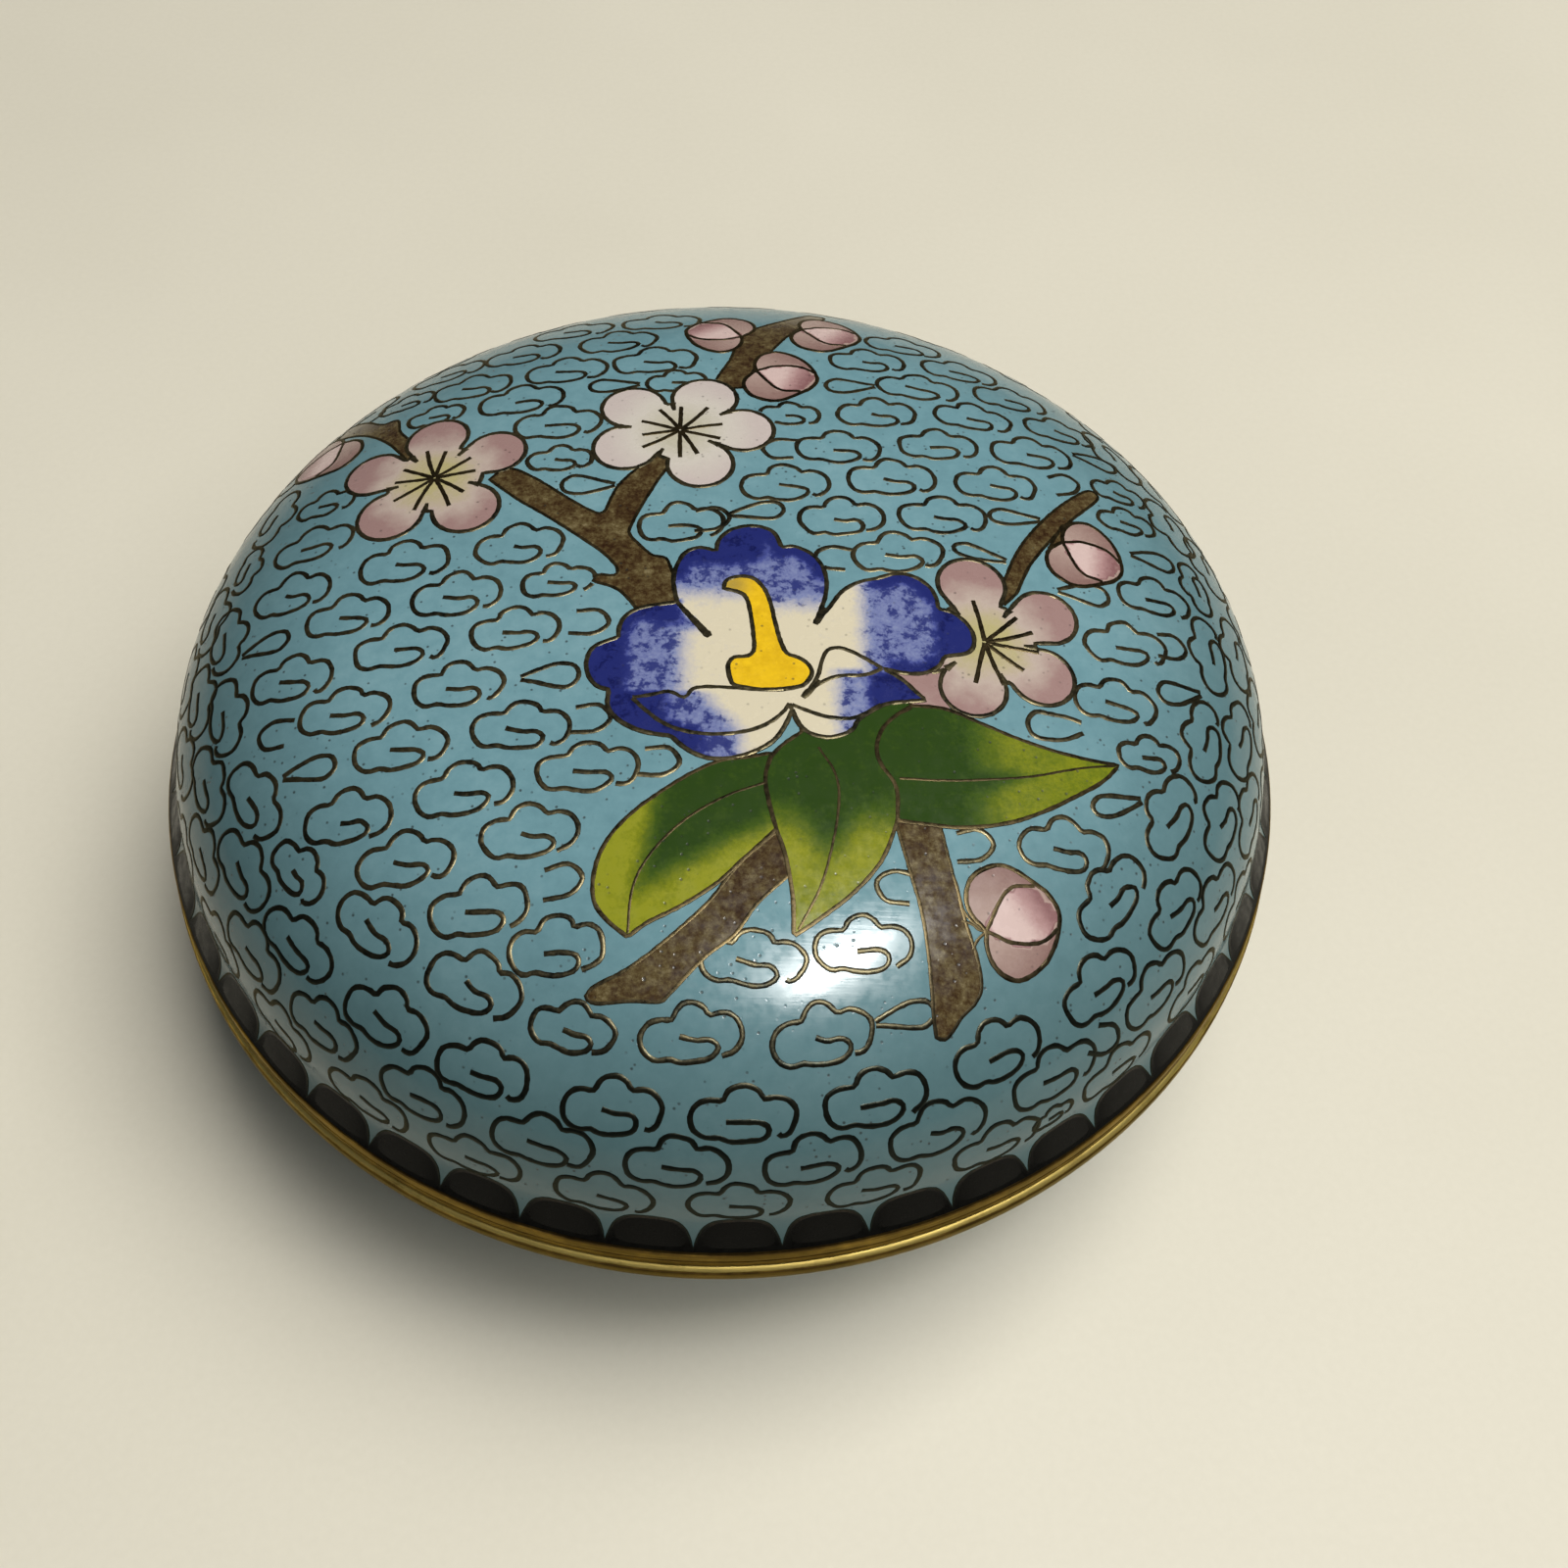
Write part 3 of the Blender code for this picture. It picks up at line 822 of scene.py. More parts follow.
# Thin wires between the lower branch and its bud
CALYX_WIRES = [
    [(17.9, -29.5), (18.3, -30.5), (19.0, -31.3), (20.0, -31.9)],
    [(18.0, -31.2), (18.9, -31.4), (19.4, -31.8), (20.0, -31.9)],
    [(20.0, -31.9), (19.3, -32.6), (18.9, -33.4)],
]

LOWEST_LIFT = 0.012 * MM
LAYER_LIFT = 0.008 * MM
LAYERS = {"branch": 1, "blossom": 2, "bud": 3, "leaf": 4, "corolla": 5, "pistil": 6}
# Widths of the picture's wires, in mm
OUTLINE_WIDTHS = {"branch": 0.32, "blossom": 0.46, "bud": 0.42, "leaf": 0.37, "corolla": 0.44,
                  "pistil": 0.44}
STAMEN_WIDTH = 0.46
BUD_LOBE_WIDTH = 0.38
CALYX_WIDTH = 0.26
VEIN_WIDTH = 0.24


def lift_of(kind):
    """How far a kind of thing is raised, so that it stays over what lies under it."""
    return LOWEST_LIFT + LAYER_LIFT * LAYERS[kind]


def petal_reach(middle, petals, notch, angle):
    """How far a blossom reaches from its middle in a direction in radians."""
    east, north = math.cos(angle), math.sin(angle)
    reach = notch
    for u, v, radius in petals:
        along = (u - middle[0]) * east + (v - middle[1]) * north
        aside = (v - middle[1]) * east - (u - middle[0]) * north
        if abs(aside) < radius and along > 0.0:
            reach = max(reach, along + math.sqrt(radius ** 2 - aside ** 2))
    return reach


def blossom_outline(middle, petals, notch):
    """The closed edge of all of a blossom's petals."""
    outline = []
    for step in range(BLOSSOM_STEPS):
        angle = 2.0 * math.pi * step / BLOSSOM_STEPS
        outline.append(away_from(middle, petal_reach(middle, petals, notch, angle), angle))
    return outline


def bud_path(bud, points):
    """Points of the bud template, at one bud's place on the map."""
    (u, v), direction, size, side, _ = bud
    east, north = math.cos(math.radians(direction)), math.sin(math.radians(direction))
    path = []
    for x, y in points:
        x, y = x * size, y * size * side
        path.append((u + x * east - y * north, v + x * north + y * east))
    return path


def ease(value):
    """0 below 0, 1 above 1, and smooth between."""
    value = min(max(value, 0.0), 1.0)
    return value * value * (3.0 - 2.0 * value)


def corolla_tone(area):
    """0 where the corolla is white, 0.6 where it is speckled and 1 where it is solid blue."""
    def tone(place):
        u, v = place
        rim = ease((1.7 - area.distance(place)) / 1.3)
        if v < -11.6 - 0.3 * ease(-u) and -9.5 < u < 5.3:   # lower left petal and its lip
            below = v < -15.6 + 0.06 * (u + 0.2) ** 2
            speckled = ease((2.6 - u) / 2.6) if below else ease((1.6 - u - 0.8 * (v + 14.0)) / 3.2)
            solid = ease((-0.9 - u) / 2.0) if below else ease((-3.6 - u) / 2.2)
            return 0.6 * speckled + 0.4 * solid
        if u > 5.2 and v < -9.3 - 0.1 * (u - 8.0):          # lower right petal
            return 0.55 * ease((u - 7.8) / 2.2) + 0.45 * ease((u - 11.0) / 1.2)
        if u > 8.0 and v < -2.5 + 0.9 * (u - 8.0) or u > 10.0:  # right petal
            solid = max(ease((u - 16.7) / 1.3), rim * ease((u - 11.0) / 2.5) * ease(v + 2.6),
                        rim * ease((-6.6 - v) / 1.6) * ease((u - 12.5) / 1.5))
            return 0.6 * ease((u - 9.9) / 2.6) + 0.4 * solid
        if 3.7 * (u + 4.0) + 2.7 * (v + 2.5) > 0.0:         # upper petal
            start = -4.6 if u > 3.0 else -3.4
            solid = max(ease((v - 1.3 + 0.5 * ease((3.0 - u) / 3.0)) / 1.8) * ease((4.4 - u) / 2.0),
                        rim * ease((v + 0.6) / 1.5))
            return 0.6 * ease((v - start) / 3.4) + 0.4 * solid
        solid = max(ease((-7.3 - u) / 1.5), rim * ease((v + 7.0) / 2.0) * ease(-3.0 - u),
                    ease((v + 4.9 + 0.3 * (u + 7.0)) / 1.4))
        return 0.6 * ease((-1.6 - u) / 3.4) + 0.4 * solid
    return tone


def left_leaf_tone(place):
    """0 where a leaf is dark green, 1 where it is yellow-green."""
    u, v = place
    side = (-5.9 - u + 0.15 * (v + 25.0)) / 1.2
    lower = (-26.1 + 0.55 * (u + 1.0) - v) / 1.5
    return ease(0.5 + 0.42 * max(side, lower))


def middle_leaf_tone(place):
    u, v = place
    border_v = -22.9 - 3.0 * math.exp(-((u - 7.9) / 1.7) ** 2)
    return 0.90 * ease(0.5 + 0.5 * (border_v - v) / 2.8)


def right_leaf_tone(place):
    u, v = place
    vein_v = -19.6 + 0.011 * (u - 15.0) ** 2
    border_u = 20.2 + 3.2 * math.exp(-((v - vein_v) / 0.8) ** 2)
    return 0.74 * ease(0.5 + 0.5 * (u - border_u) / 2.8)


def picture_areas():
    """The picture's outlines by kind, each as an Area in mm."""
    return {
        "corolla": [outline_area(joined(COROLLA))],
        "pistil": [outline_area(joined(PISTIL))],
        "leaf": [outline_area(joined(runs)) for runs in (LEFT_LEAF, RIGHT_LEAF, MIDDLE_LEAF)],
        "branch": [outline_area(joined(runs)) for runs in BRANCHES],
        "blossom": [outline_area(blossom_outline(middle, petals, notch))
                    for _, middle, petals, notch, _, _ in BLOSSOMS],
        "bud": [outline_area(joined([bud_path(bud, run) for run in BUD_EDGE])) for bud in BUDS],
    }


def covers_above(areas, kind):
    """The areas that lie over a kind of thing."""
    covers = []
    for other, shapes in areas.items():
        if LAYERS[other] > LAYERS.get(kind, 0):
            covers += shapes
    return covers


def blossom_tone(middle):
    """0 at a blossom's middle, 1 at the ends of its petals."""
    def tone(place):
        return min(math.dist(place, middle) / BLOSSOM_RADIUS, 1.0)
    return tone


def bud_tone(bud):
    """Front lobe from 0 (pale) to 0.5 (pink), the others from 0.6 near the stem to 1."""
    stem, _, size, _, pink_side = bud
    front = outline_area(spline(bud_path(bud, BUD_FRONT)))
    east, north = math.cos(math.radians(pink_side)), math.sin(math.radians(pink_side))
    middle = [0.5 * (low + high) for low, high in zip(front.low, front.high)]

    def tone(place):
        if front.holds(place):
            across = (place[0] - middle[0]) * east + (place[1] - middle[1]) * north
            return 0.5 * ease(0.36 + across / (4.2 * size))
        return 0.6 + 0.4 * min(math.dist(place, stem) / (BUD_LENGTH * size), 1.0)
    return tone


def pistil_tone(place):
    """1 at the pistil's upper end, 0 elsewhere."""
    return ease(1.0 - math.dist(place, (0.6, -0.6)) / 2.2)


def build_enamel(wall, areas, paints):
    """The picture's enamel cells, a piece for each kind of thing."""
    def piece(name, paint, cells, kind):
        sheet = Sheet()
        for area, tone in cells:
            fill_cell(sheet, wall, area.outline, lift_of(kind), tone)
        sheet.build(name, paint, "turquoise_enamel")

    piece("branch_enamel", paints["branch"], [(area, None) for area in areas["branch"]], "branch")
    for area, (name, middle, *_) in zip(areas["blossom"], BLOSSOMS):
        paint = paints["white_blossom" if name == "white" else "pink_blossom"]
        cells = [(area, blossom_tone(middle))]
        if name == "right":
            cells.append((outline_area(joined(WEDGE)), lambda place: WEDGE_TONE))
        piece(name + "_blossom_enamel", paint, cells, "blossom")
    buds = [(area, bud_tone(bud)) for area, bud in zip(areas["bud"], BUDS)]
    piece("bud_enamel", paints["bud"], buds, "bud")
    tones = (left_leaf_tone, right_leaf_tone, middle_leaf_tone)
    for name, area, tone in zip(("left", "right", "middle"), areas["leaf"], tones):
        piece(name + "_leaf_enamel", paints["leaf"], [(area, tone)], "leaf")
    corolla = areas["corolla"][0]
    piece("corolla_enamel", paints["corolla"], [(corolla, corolla_tone(corolla))], "corolla")
    piece("pistil_enamel", paints["pistil"], [(areas["pistil"][0], pistil_tone)], "pistil")


def outline_wires(sheet, wall, areas, kind):
    """The wires round every thing of a kind, where nothing lies over them."""
    covers = covers_above(areas, kind)
    for area in areas[kind]:
        path = resample(area.outline, WIRE_STEP, closed=True)
        lay_clipped(sheet, wall, path, OUTLINE_WIDTHS[kind], covers, lift_of(kind), closed=True)


def stamen_wires(sheet, wall, areas):
    """Stamens that spread from each blossom's middle, slightly bent."""
    covers = covers_above(areas, "blossom")
    for _, middle, _, _, directions, length in BLOSSOMS:
        for direction in directions:
            angle = math.radians(direction)
            reach = length * dice.uniform(0.9, 1.1)
            bend = dice.uniform(-0.12, 0.12)
            points = [away_from(middle, along, angle + bend * (along / reach - 0.5))
                      for along in (0.1, 0.5 * reach, reach)]
            lay_clipped(sheet, wall, along_wire(points), STAMEN_WIDTH, covers, lift_of("blossom"))


def notch_wires(sheet, wall, areas):
    """The thick ends where two petals' wires meet and run in towards a blossom's middle."""
    covers = covers_above(areas, "blossom")
    for _, middle, petals, notch, _, _ in BLOSSOMS:
        angles = sorted(math.atan2(v - middle[1], u - middle[0]) for u, v, _ in petals)
        for start, end in zip(angles, angles[1:] + [angles[0] + 2.0 * math.pi]):
            tries = [start + (end - start) * step / 40.0 for step in range(10, 31)]
            angle = min(tries, key=lambda each: petal_reach(middle, petals, notch, each))
            reach = petal_reach(middle, petals, notch, angle)
            last = len(NOTCH_WIDTHS) - 1
            path = [away_from(middle, reach + NOTCH_OVERLAP - NOTCH_LENGTH * step / last, angle)
                    for step in range(last + 1)]
            if not any(cover.holds(path[0]) for cover in covers):
                lay_wire(sheet, wall, path, NOTCH_WIDTHS, lift_of("blossom"))


def bud_wires(sheet, wall, areas):
    """The edge of each bud's front lobe, where it lies over the other two."""
    covers = covers_above(areas, "bud")
    for bud in BUDS:
        for run in BUD_WIRES:
            path = along_wire(bud_path(bud, run))
            lay_clipped(sheet, wall, path, BUD_LOBE_WIDTH, covers, lift_of("bud"))


def build_picture_wires(wall, areas, material, thin_material):
    thick, thin = Sheet(), Sheet()
    for kind in ("blossom", "corolla", "pistil"):
        outline_wires(thick, wall, areas, kind)
    notch_wires(thick, wall, areas)
    for points, width in COROLLA_WIRES:
        lay_clipped(thick, wall, along_wire(points), width, areas["pistil"], lift_of("corolla"))
    for points, start, end in COROLLA_TONGUES:
        path = along_wire(points)
        last = len(path) - 1
        widths = [start + (end - start) * index / last for index in range(last)]
        lay_wire(thick, wall, path, widths + [BLUNT_END * end], lift_of("corolla"))
    thick.build("picture_wires", material, "gilt_brass")
    outline_wires(thin, wall, areas, "branch")
    outline_wires(thin, wall, areas, "leaf")
    stamen_wires(thin, wall, areas)
    outline_wires(thin, wall, areas, "bud")
    bud_wires(thin, wall, areas)
    over_leaves = covers_above(areas, "leaf")
    for points in LEAF_VEINS:
        lay_clipped(thin, wall, along_wire(points), VEIN_WIDTH, over_leaves, lift_of("leaf"))
    for points in CALYX_WIRES:
        lay_wire(thin, wall, along_wire(points), CALYX_WIDTH, lift_of("branch"))
    thin.build("leaf_and_branch_wires", thin_material, "gilt_brass")


# Shells, rims and foot

# Roundings and turned lines of the rims and the foot
LID_RIM_ROUND = 0.42 * MM
LID_RIM_FOOT_ROUND = 0.12 * MM
GROOVE_HEIGHT, GROOVE_WIDTH, GROOVE_DEPTH = 0.95 * MM, 0.26 * MM, 0.06 * MM
GROOVE_STEPS = 6
BASE_RIM_ROUND = 0.95 * MM
COLLAR_ROUND = 0.36 * MM
FOOT_ROUND = 0.45 * MM
FILLET_STEPS = 5
# The base rim's shoulder, as mm inside its face and mm below its top
SHOULDER = [(0.80, 0.0), (0.60, 0.04), (0.16, 0.25), (0.04, 0.42), (0.0, 0.66)]
BRIGHT_DEPTH = 0.31 * MM
# How dark the brass is, from 0 where hands rub it bright to 1; some of it is painted shade
LID_RIM_TONE = 0.69
# painted shade: the base rim's face below its bright shoulder is darkened
BASE_RIM_SHADED_TONE = 0.95
COLLAR_TONE = 0.55
FOOT_TONE = 0.48


def lid_shell(wall, material, lining_material):
    """The lid's shell: its enamelled outside, its lining and the edge held in the rim."""
    seat = SEAM + LEDGE + JOINT_GAP
    outside = wall.section + [(BODY_RADIUS, wall.section[-1][1]), (BODY_RADIUS, seat)]
    rise = CROWN - WALL - LID_RIM_TOP
    curve = superellipse(0.0, LINING_RADIUS, rise, DOME_SQUARENESS, LINING_STEPS)
    inside = [(LINING_RADIUS, seat)] + [(r, LID_RIM_TOP + z) for r, z in reversed(curve)]
    shell("lid_shell", outside + inside, inside, material, lining_material, "lid_dome")


def base_shell(wall, material, lining_material):
    """The base's shell, made in the same way."""
    seat = SEAM - LEDGE - JOINT_GAP
    outside = wall.section + [(BODY_RADIUS, wall.section[-1][1]), (BODY_RADIUS, seat)]
    rise = seat - UNDERSIDE - WALL
    curve = superellipse(FOOT_RADIUS, LINING_RADIUS, rise, BOWL_SQUARENESS, LINING_STEPS)
    inside = [(LINING_RADIUS, seat)] + [(r, seat - z) for r, z in reversed(curve)]
    inside += [(0.5 * FOOT_RADIUS, UNDERSIDE + WALL), (0.0, UNDERSIDE + WALL)]
    outline = (outside + inside)[::-1]
    shell("base_shell", outline, inside, material, lining_material, "base_bowl")


def shell(name, outline, inside, material, lining_material, node):
    """A turned shell whose faces between the inside's points are its lining."""
    sheet = Sheet()
    sheet.add(*turned(outline))
    piece = sheet.build(name, material, "turquoise_enamel", (node,))
    piece.data.materials.append(lining_material)
    lining_points = {(round(r, 7), round(z, 7)) for r, z in inside}
    for face in piece.data.polygons:
        corners = [piece.data.vertices[index].co for index in face.vertices]
        keys = [(round(math.hypot(c.x, c.y), 7), round(c.z, 7)) for c in corners]
        if all(key in lining_points for key in keys):
            face.material_index = 1


def fillet(corner, before, after, radius):
    """Points round a square corner of a section."""
    corner, before, after = Vector(corner), Vector(before), Vector(after)
    into = (before - corner).normalized()
    out = (after - corner).normalized()
    centre = corner + radius * (into + out)
    points = []
    for step in range(FILLET_STEPS + 1):
        angle = 0.5 * math.pi * step / FILLET_STEPS
        offset = out * math.cos(angle) + into * math.sin(angle)
        points.append(tuple(centre - radius * offset))
    return points


def filleted(corners, radii):
    """A section with its corners at the given places rounded."""
    outline = []
    for index, corner in enumerate(corners):
        if index in radii:
            after = corners[(index + 1) % len(corners)]
            outline += fillet(corner, corners[index - 1], after, radii[index])
        else:
            outline.append(tuple(corner))
    return outline


def groove(radius, height):
    """Points of a round-bottomed groove turned into an upright face, from the top down."""
    points = []
    for step in range(GROOVE_STEPS + 1):
        angle = math.pi * step / GROOVE_STEPS
        points.append((radius - GROOVE_DEPTH * math.sin(angle),
                       height + 0.5 * GROOVE_WIDTH * math.cos(angle)))
    return points


def lid_rim(material):
    """The lid's rim: a flat band with a shallow turned line low on its face."""
    low, high, radius = LID_RIM_BOTTOM, LID_RIM_TOP, LID_RIM_RADIUS
    outline = [(LINING_RADIUS, low), (LINING_RADIUS, SEAM + LEDGE), (SOCKET_RADIUS, SEAM + LEDGE),
               (SOCKET_RADIUS, high)]
    outline += fillet((radius, high), (SOCKET_RADIUS, high), (radius, low), LID_RIM_ROUND)
    outline += groove(radius, low + GROOVE_HEIGHT)
    outline += fillet((radius, low), (radius, high), (LINING_RADIUS, low), LID_RIM_FOOT_ROUND)
    turned_piece("lid_rim_turned", outline, material, "lid_rim", lambda r, z: LID_RIM_TONE)


def base_rim(material):
    """The base's rim, with its collar, a bright shoulder and painted shade on the face below that.
    """
    high = SEAM - 0.5 * JOINT_GAP
    outer = LINING_RADIUS - LID_CLEARANCE
    inner = outer - COLLAR_WALL
    corners = [(inner, SEAM - LEDGE), (inner, COLLAR_TOP), (outer, COLLAR_TOP), (outer, high),
               (RIM_RADIUS, high), (RIM_RADIUS, RIM_BOTTOM), (SOCKET_RADIUS, RIM_BOTTOM),
               (SOCKET_RADIUS, SEAM - LEDGE)]
    outline = filleted(corners, {2: COLLAR_ROUND, 5: BASE_RIM_ROUND})
    at = outline.index((RIM_RADIUS, high))
    outline[at:at + 1] = [(RIM_RADIUS - inward * MM, high - down * MM) for inward, down in SHOULDER]

    def tone_at(r, z):
        if r < outer + 0.1 * MM:
            return COLLAR_TONE
        # painted shade: below the shoulder the face is made dark
        return 0.0 if z > high - BRIGHT_DEPTH else BASE_RIM_SHADED_TONE

    turned_piece("base_rim_turned", outline, material, "base_rim", tone_at)


def foot_ring(material):
    inner = FOOT_RADIUS - FOOT_WIDTH
    corners = [(inner, 0.0), (inner, FOOT_TOP), (FOOT_RADIUS, FOOT_TOP), (FOOT_RADIUS, 0.0)]
    outline = filleted(corners, {0: FOOT_ROUND, 3: FOOT_ROUND})
    turned_piece("foot_ring_turned", outline, material, "foot_ring", lambda r, z: FOOT_TONE)


def turned_piece(name, outline, material, node, tone_at):
    """A turned brass ring, which is as dark as tone_at(r, z) says."""
    sheet = Sheet()
    points, faces = turned(outline)
    tones = [tone_at(math.hypot(x, y), z) for x, y, z in points]
    sheet.add(points, faces, tones)
    sheet.build(name, material, "gilt_brass", (node,), smooth_degrees=50.0)


# The base's ground

# (distance from the rim in mm, number of scrolls, azimuth of the first in degrees)
BASE_RINGS = [(5.6, 29, 7.7), (10.1, 27, 1.5), (14.6, 24, 7.2)]
BASE_CLOUD_FLAT = 0.92


def base_ground_wires(wall, material):
    """Rings of the same cloud scrolls, by their distance in mm from the rim."""
    sheet = Sheet()
    edge = wall.length / MM
    for from_rim, count, first in BASE_RINGS:
        azimuths = [first + 360.0 * index / count for index in range(count)]
        ring_clouds(sheet, wall, edge - from_rim, azimuths, [], flat=BASE_CLOUD_FLAT)
    sheet.build("base_cloud_wires", material, "gilt_brass")


# Materials


class Paint:
    """Short calls that build one material's node tree."""

    def __init__(self, name, metallic=0.0):
        self.material = bpy.data.materials.new(name)
        self.material.use_nodes = True
        self.tree = self.material.node_tree
        self.shader = self.tree.nodes["Principled BSDF"]
        self.shader.inputs["Metallic"].default_value = metallic
        self.coords = self.new("ShaderNodeTexCoord", {}).outputs["Object"]

    def new(self, kind, inputs, **settings):
        """A node with its settings, and with its inputs set or linked."""
        node = self.tree.nodes.new(kind)
        for key, value in settings.items():
            setattr(node, key, value)
        for key, value in inputs.items():
            self.put(node.inputs[key], value)
        return node

    def put(self, socket, value):
        """Links an output to a socket, or sets its value. Colors are given without alpha."""
        if isinstance(value, bpy.types.NodeSocket):
            self.tree.links.new(value, socket)
        else:
            socket.default_value = (*value, 1.0) if socket.type == "RGBA" else value

    def stretched(self, x, y, z):
        inputs = {"Vector": self.coords, "Scale": (x, y, z)}
        return self.new("ShaderNodeMapping", inputs).outputs["Vector"]

    def noise(self, size_mm, detail, roughness=0.55, vector=None, distortion=0.0):
        inputs = {"Vector": vector or self.coords, "Scale": 1.0 / (size_mm * MM),
                  "Detail": detail, "Roughness": roughness, "Distortion": distortion}
        return self.new("ShaderNodeTexNoise", inputs).outputs[0]

    def cells(self, size_mm):
        """Distance to the nearest of many scattered points, as a share of size_mm."""
        inputs = {"Vector": self.coords, "Scale": 1.0 / (size_mm * MM)}
        return self.new("ShaderNodeTexVoronoi", inputs).outputs["Distance"]

    def distance_out(self):
        """Distance from the box's axis, in metres."""
        inputs = {0: self.stretched(1.0, 1.0, 0.0)}
        return self.new("ShaderNodeVectorMath", inputs, operation="LENGTH").outputs["Value"]

    def tone(self):
        return self.new("ShaderNodeAttribute", {}, attribute_name="tone").outputs["Fac"]

    def sum(self, operation, a, b=0.0, c=0.0):
        return self.new("ShaderNodeMath", {0: a, 1: b, 2: c}, operation=operation).outputs[0]

    def blend(self, a, b, share):
        """The value b by its share, and a for the rest."""
        return self.sum("ADD", self.sum("MULTIPLY", a, 1.0 - share),
                        self.sum("MULTIPLY", b, share))

    def shifted(self, value, noise, span):
        """A value moved by a noise, by up to half the span either way."""
        return self.sum("ADD", value, self.sum("MULTIPLY_ADD", noise, span, -0.5 * span))

    def between(self, value, low, high, start=0.0, end=1.0):
        """Maps a value from low..high smoothly to start..end."""
        inputs = {"Value": value, "From Min": low, "From Max": high, "To Min": start,
                  "To Max": end}
        return self.new("ShaderNodeMapRange", inputs, interpolation_type="SMOOTHSTEP").outputs[0]

    def ramp(self, value, stops):
        node = self.new("ShaderNodeValToRGB", {"Fac": value})
        elements = node.color_ramp.elements
        while len(elements) < len(stops):
            elements.new(0.5)
        for element, (position, color) in zip(elements, stops):
            element.position = position
            element.color = (*color, 1.0)
        return node.outputs["Color"]

    def mix(self, factor, a, b):
        return self.new("ShaderNodeMix", {0: factor, 6: a, 7: b}, data_type="RGBA").outputs[2]

    def bump(self, height, depth_mm, under=None):
        """Bumps as a surface normal, on top of another normal if that is given."""
        inputs = {"Height": height, "Distance": depth_mm * MM}
        if under:
            inputs["Normal"] = under
        return self.new("ShaderNodeBump", inputs).outputs["Normal"]

    def finish(self, color, roughness, normal):
        self.put(self.shader.inputs["Base Color"], color)
        self.put(self.shader.inputs["Roughness"], roughness)
        self.put(self.shader.inputs["Normal"], normal)
        return self.material


def glassy(paint, color, pits, roughness, gloss=0.34):
    """Finishes a paint as fired enamel: tiny dark pits, polishing streaks and a soft ripple."""
    paint.shader.inputs["Specular IOR Level"].default_value = gloss
    dot = paint.between(paint.cells(0.85), 0.08, 0.19, 1.0, 0.0)
    chance = paint.between(paint.noise(1.9, 1.0), 0.43, 0.56)
    pit = paint.sum("MULTIPLY", paint.sum("MULTIPLY", dot, chance), pits)
    color = paint.mix(pit, color, (0.012, 0.014, 0.012))
    fine = paint.between(paint.noise(0.9, 4.0), 0.3, 0.7, *roughness)
    rough = paint.sum("ADD", fine, paint.sum("MULTIPLY", pit, 0.3))
    streaks = paint.noise(0.9, 4.0, 0.6, paint.stretched(0.07, 2.6, 1.0))
    normal = paint.bump(streaks, 0.006)
    normal = paint.bump(paint.noise(3.5, 2.0), 0.020, normal)
    normal = paint.bump(paint.sum("MULTIPLY", pit, -1.0), 0.02, normal)
    return paint.finish(color, rough, normal)


def turquoise_enamel():
    paint = Paint("turquoise_enamel")
    broad = paint.noise(14.0, 2.0)
    fine = paint.noise(1.3, 5.0, 0.65)
    mixed = paint.blend(broad, fine, 0.5)
    color = paint.ramp(mixed, [(0.30, (0.122, 0.255, 0.310)), (0.50, (0.152, 0.305, 0.366)),
                               (0.70, (0.196, 0.360, 0.424))])
    # Painted shade, partly a film of old polish and dust: the ground darkens towards the border and
    # most along it
    out = paint.distance_out()
    painted_border_shade = paint.sum("ADD", paint.between(out, 0.028, 0.050, 0.0, 0.74),
                     paint.between(out, 0.0488, 0.0500, 0.0, 0.22))
    # painted shade: the ground's colour is mixed towards a dark teal near the border
    color = paint.mix(painted_border_shade, color, (0.055, 0.100, 0.105))
    return glassy(paint, color, 0.75, (0.13, 0.24))


def lining_enamel():
    paint = Paint("turquoise_lining")
    fine = paint.noise(1.8, 5.0, 0.6)
    color = paint.ramp(fine, [(0.30, (0.100, 0.300, 0.370)), (0.70, (0.170, 0.400, 0.470))])
    return glassy(paint, color, 0.9, (0.22, 0.36))


def black_enamel():
    paint = Paint("black_enamel")
    worn = paint.sum("MULTIPLY", paint.between(paint.tone(), 0.55, 1.0),
                     paint.between(paint.noise(0.7, 4.0), 0.35, 0.6))
    color = paint.mix(worn, (0.003, 0.003, 0.0027), (0.022, 0.016, 0.010))
    return glassy(paint, color, 0.2, (0.22, 0.40), 0.08)


def blossom_enamel(name, centre, middle, edge, mottle):
    paint = Paint(name)
    grained = paint.shifted(paint.tone(), paint.noise(0.45, 4.0, 0.7), 0.20)
    where = paint.shifted(grained, paint.noise(2.2, 3.0), mottle)
    color = paint.ramp(where, [(0.18, centre), (0.50, middle), (0.78, edge)])
    return glassy(paint, color, 0.45, (0.20, 0.34))


def bud_enamel():
    paint = Paint("bud_enamel")
    where = paint.shifted(paint.tone(), paint.noise(0.45, 4.0, 0.7), 0.26)
    color = paint.ramp(where, [(0.05, (0.61, 0.47, 0.46)), (0.28, (0.40, 0.245, 0.25)),
                               (0.48, (0.22, 0.105, 0.112)), (0.62, (0.41, 0.305, 0.275)),
                               (0.95, (0.225, 0.132, 0.122))])
    return glassy(paint, color, 0.45, (0.20, 0.34))


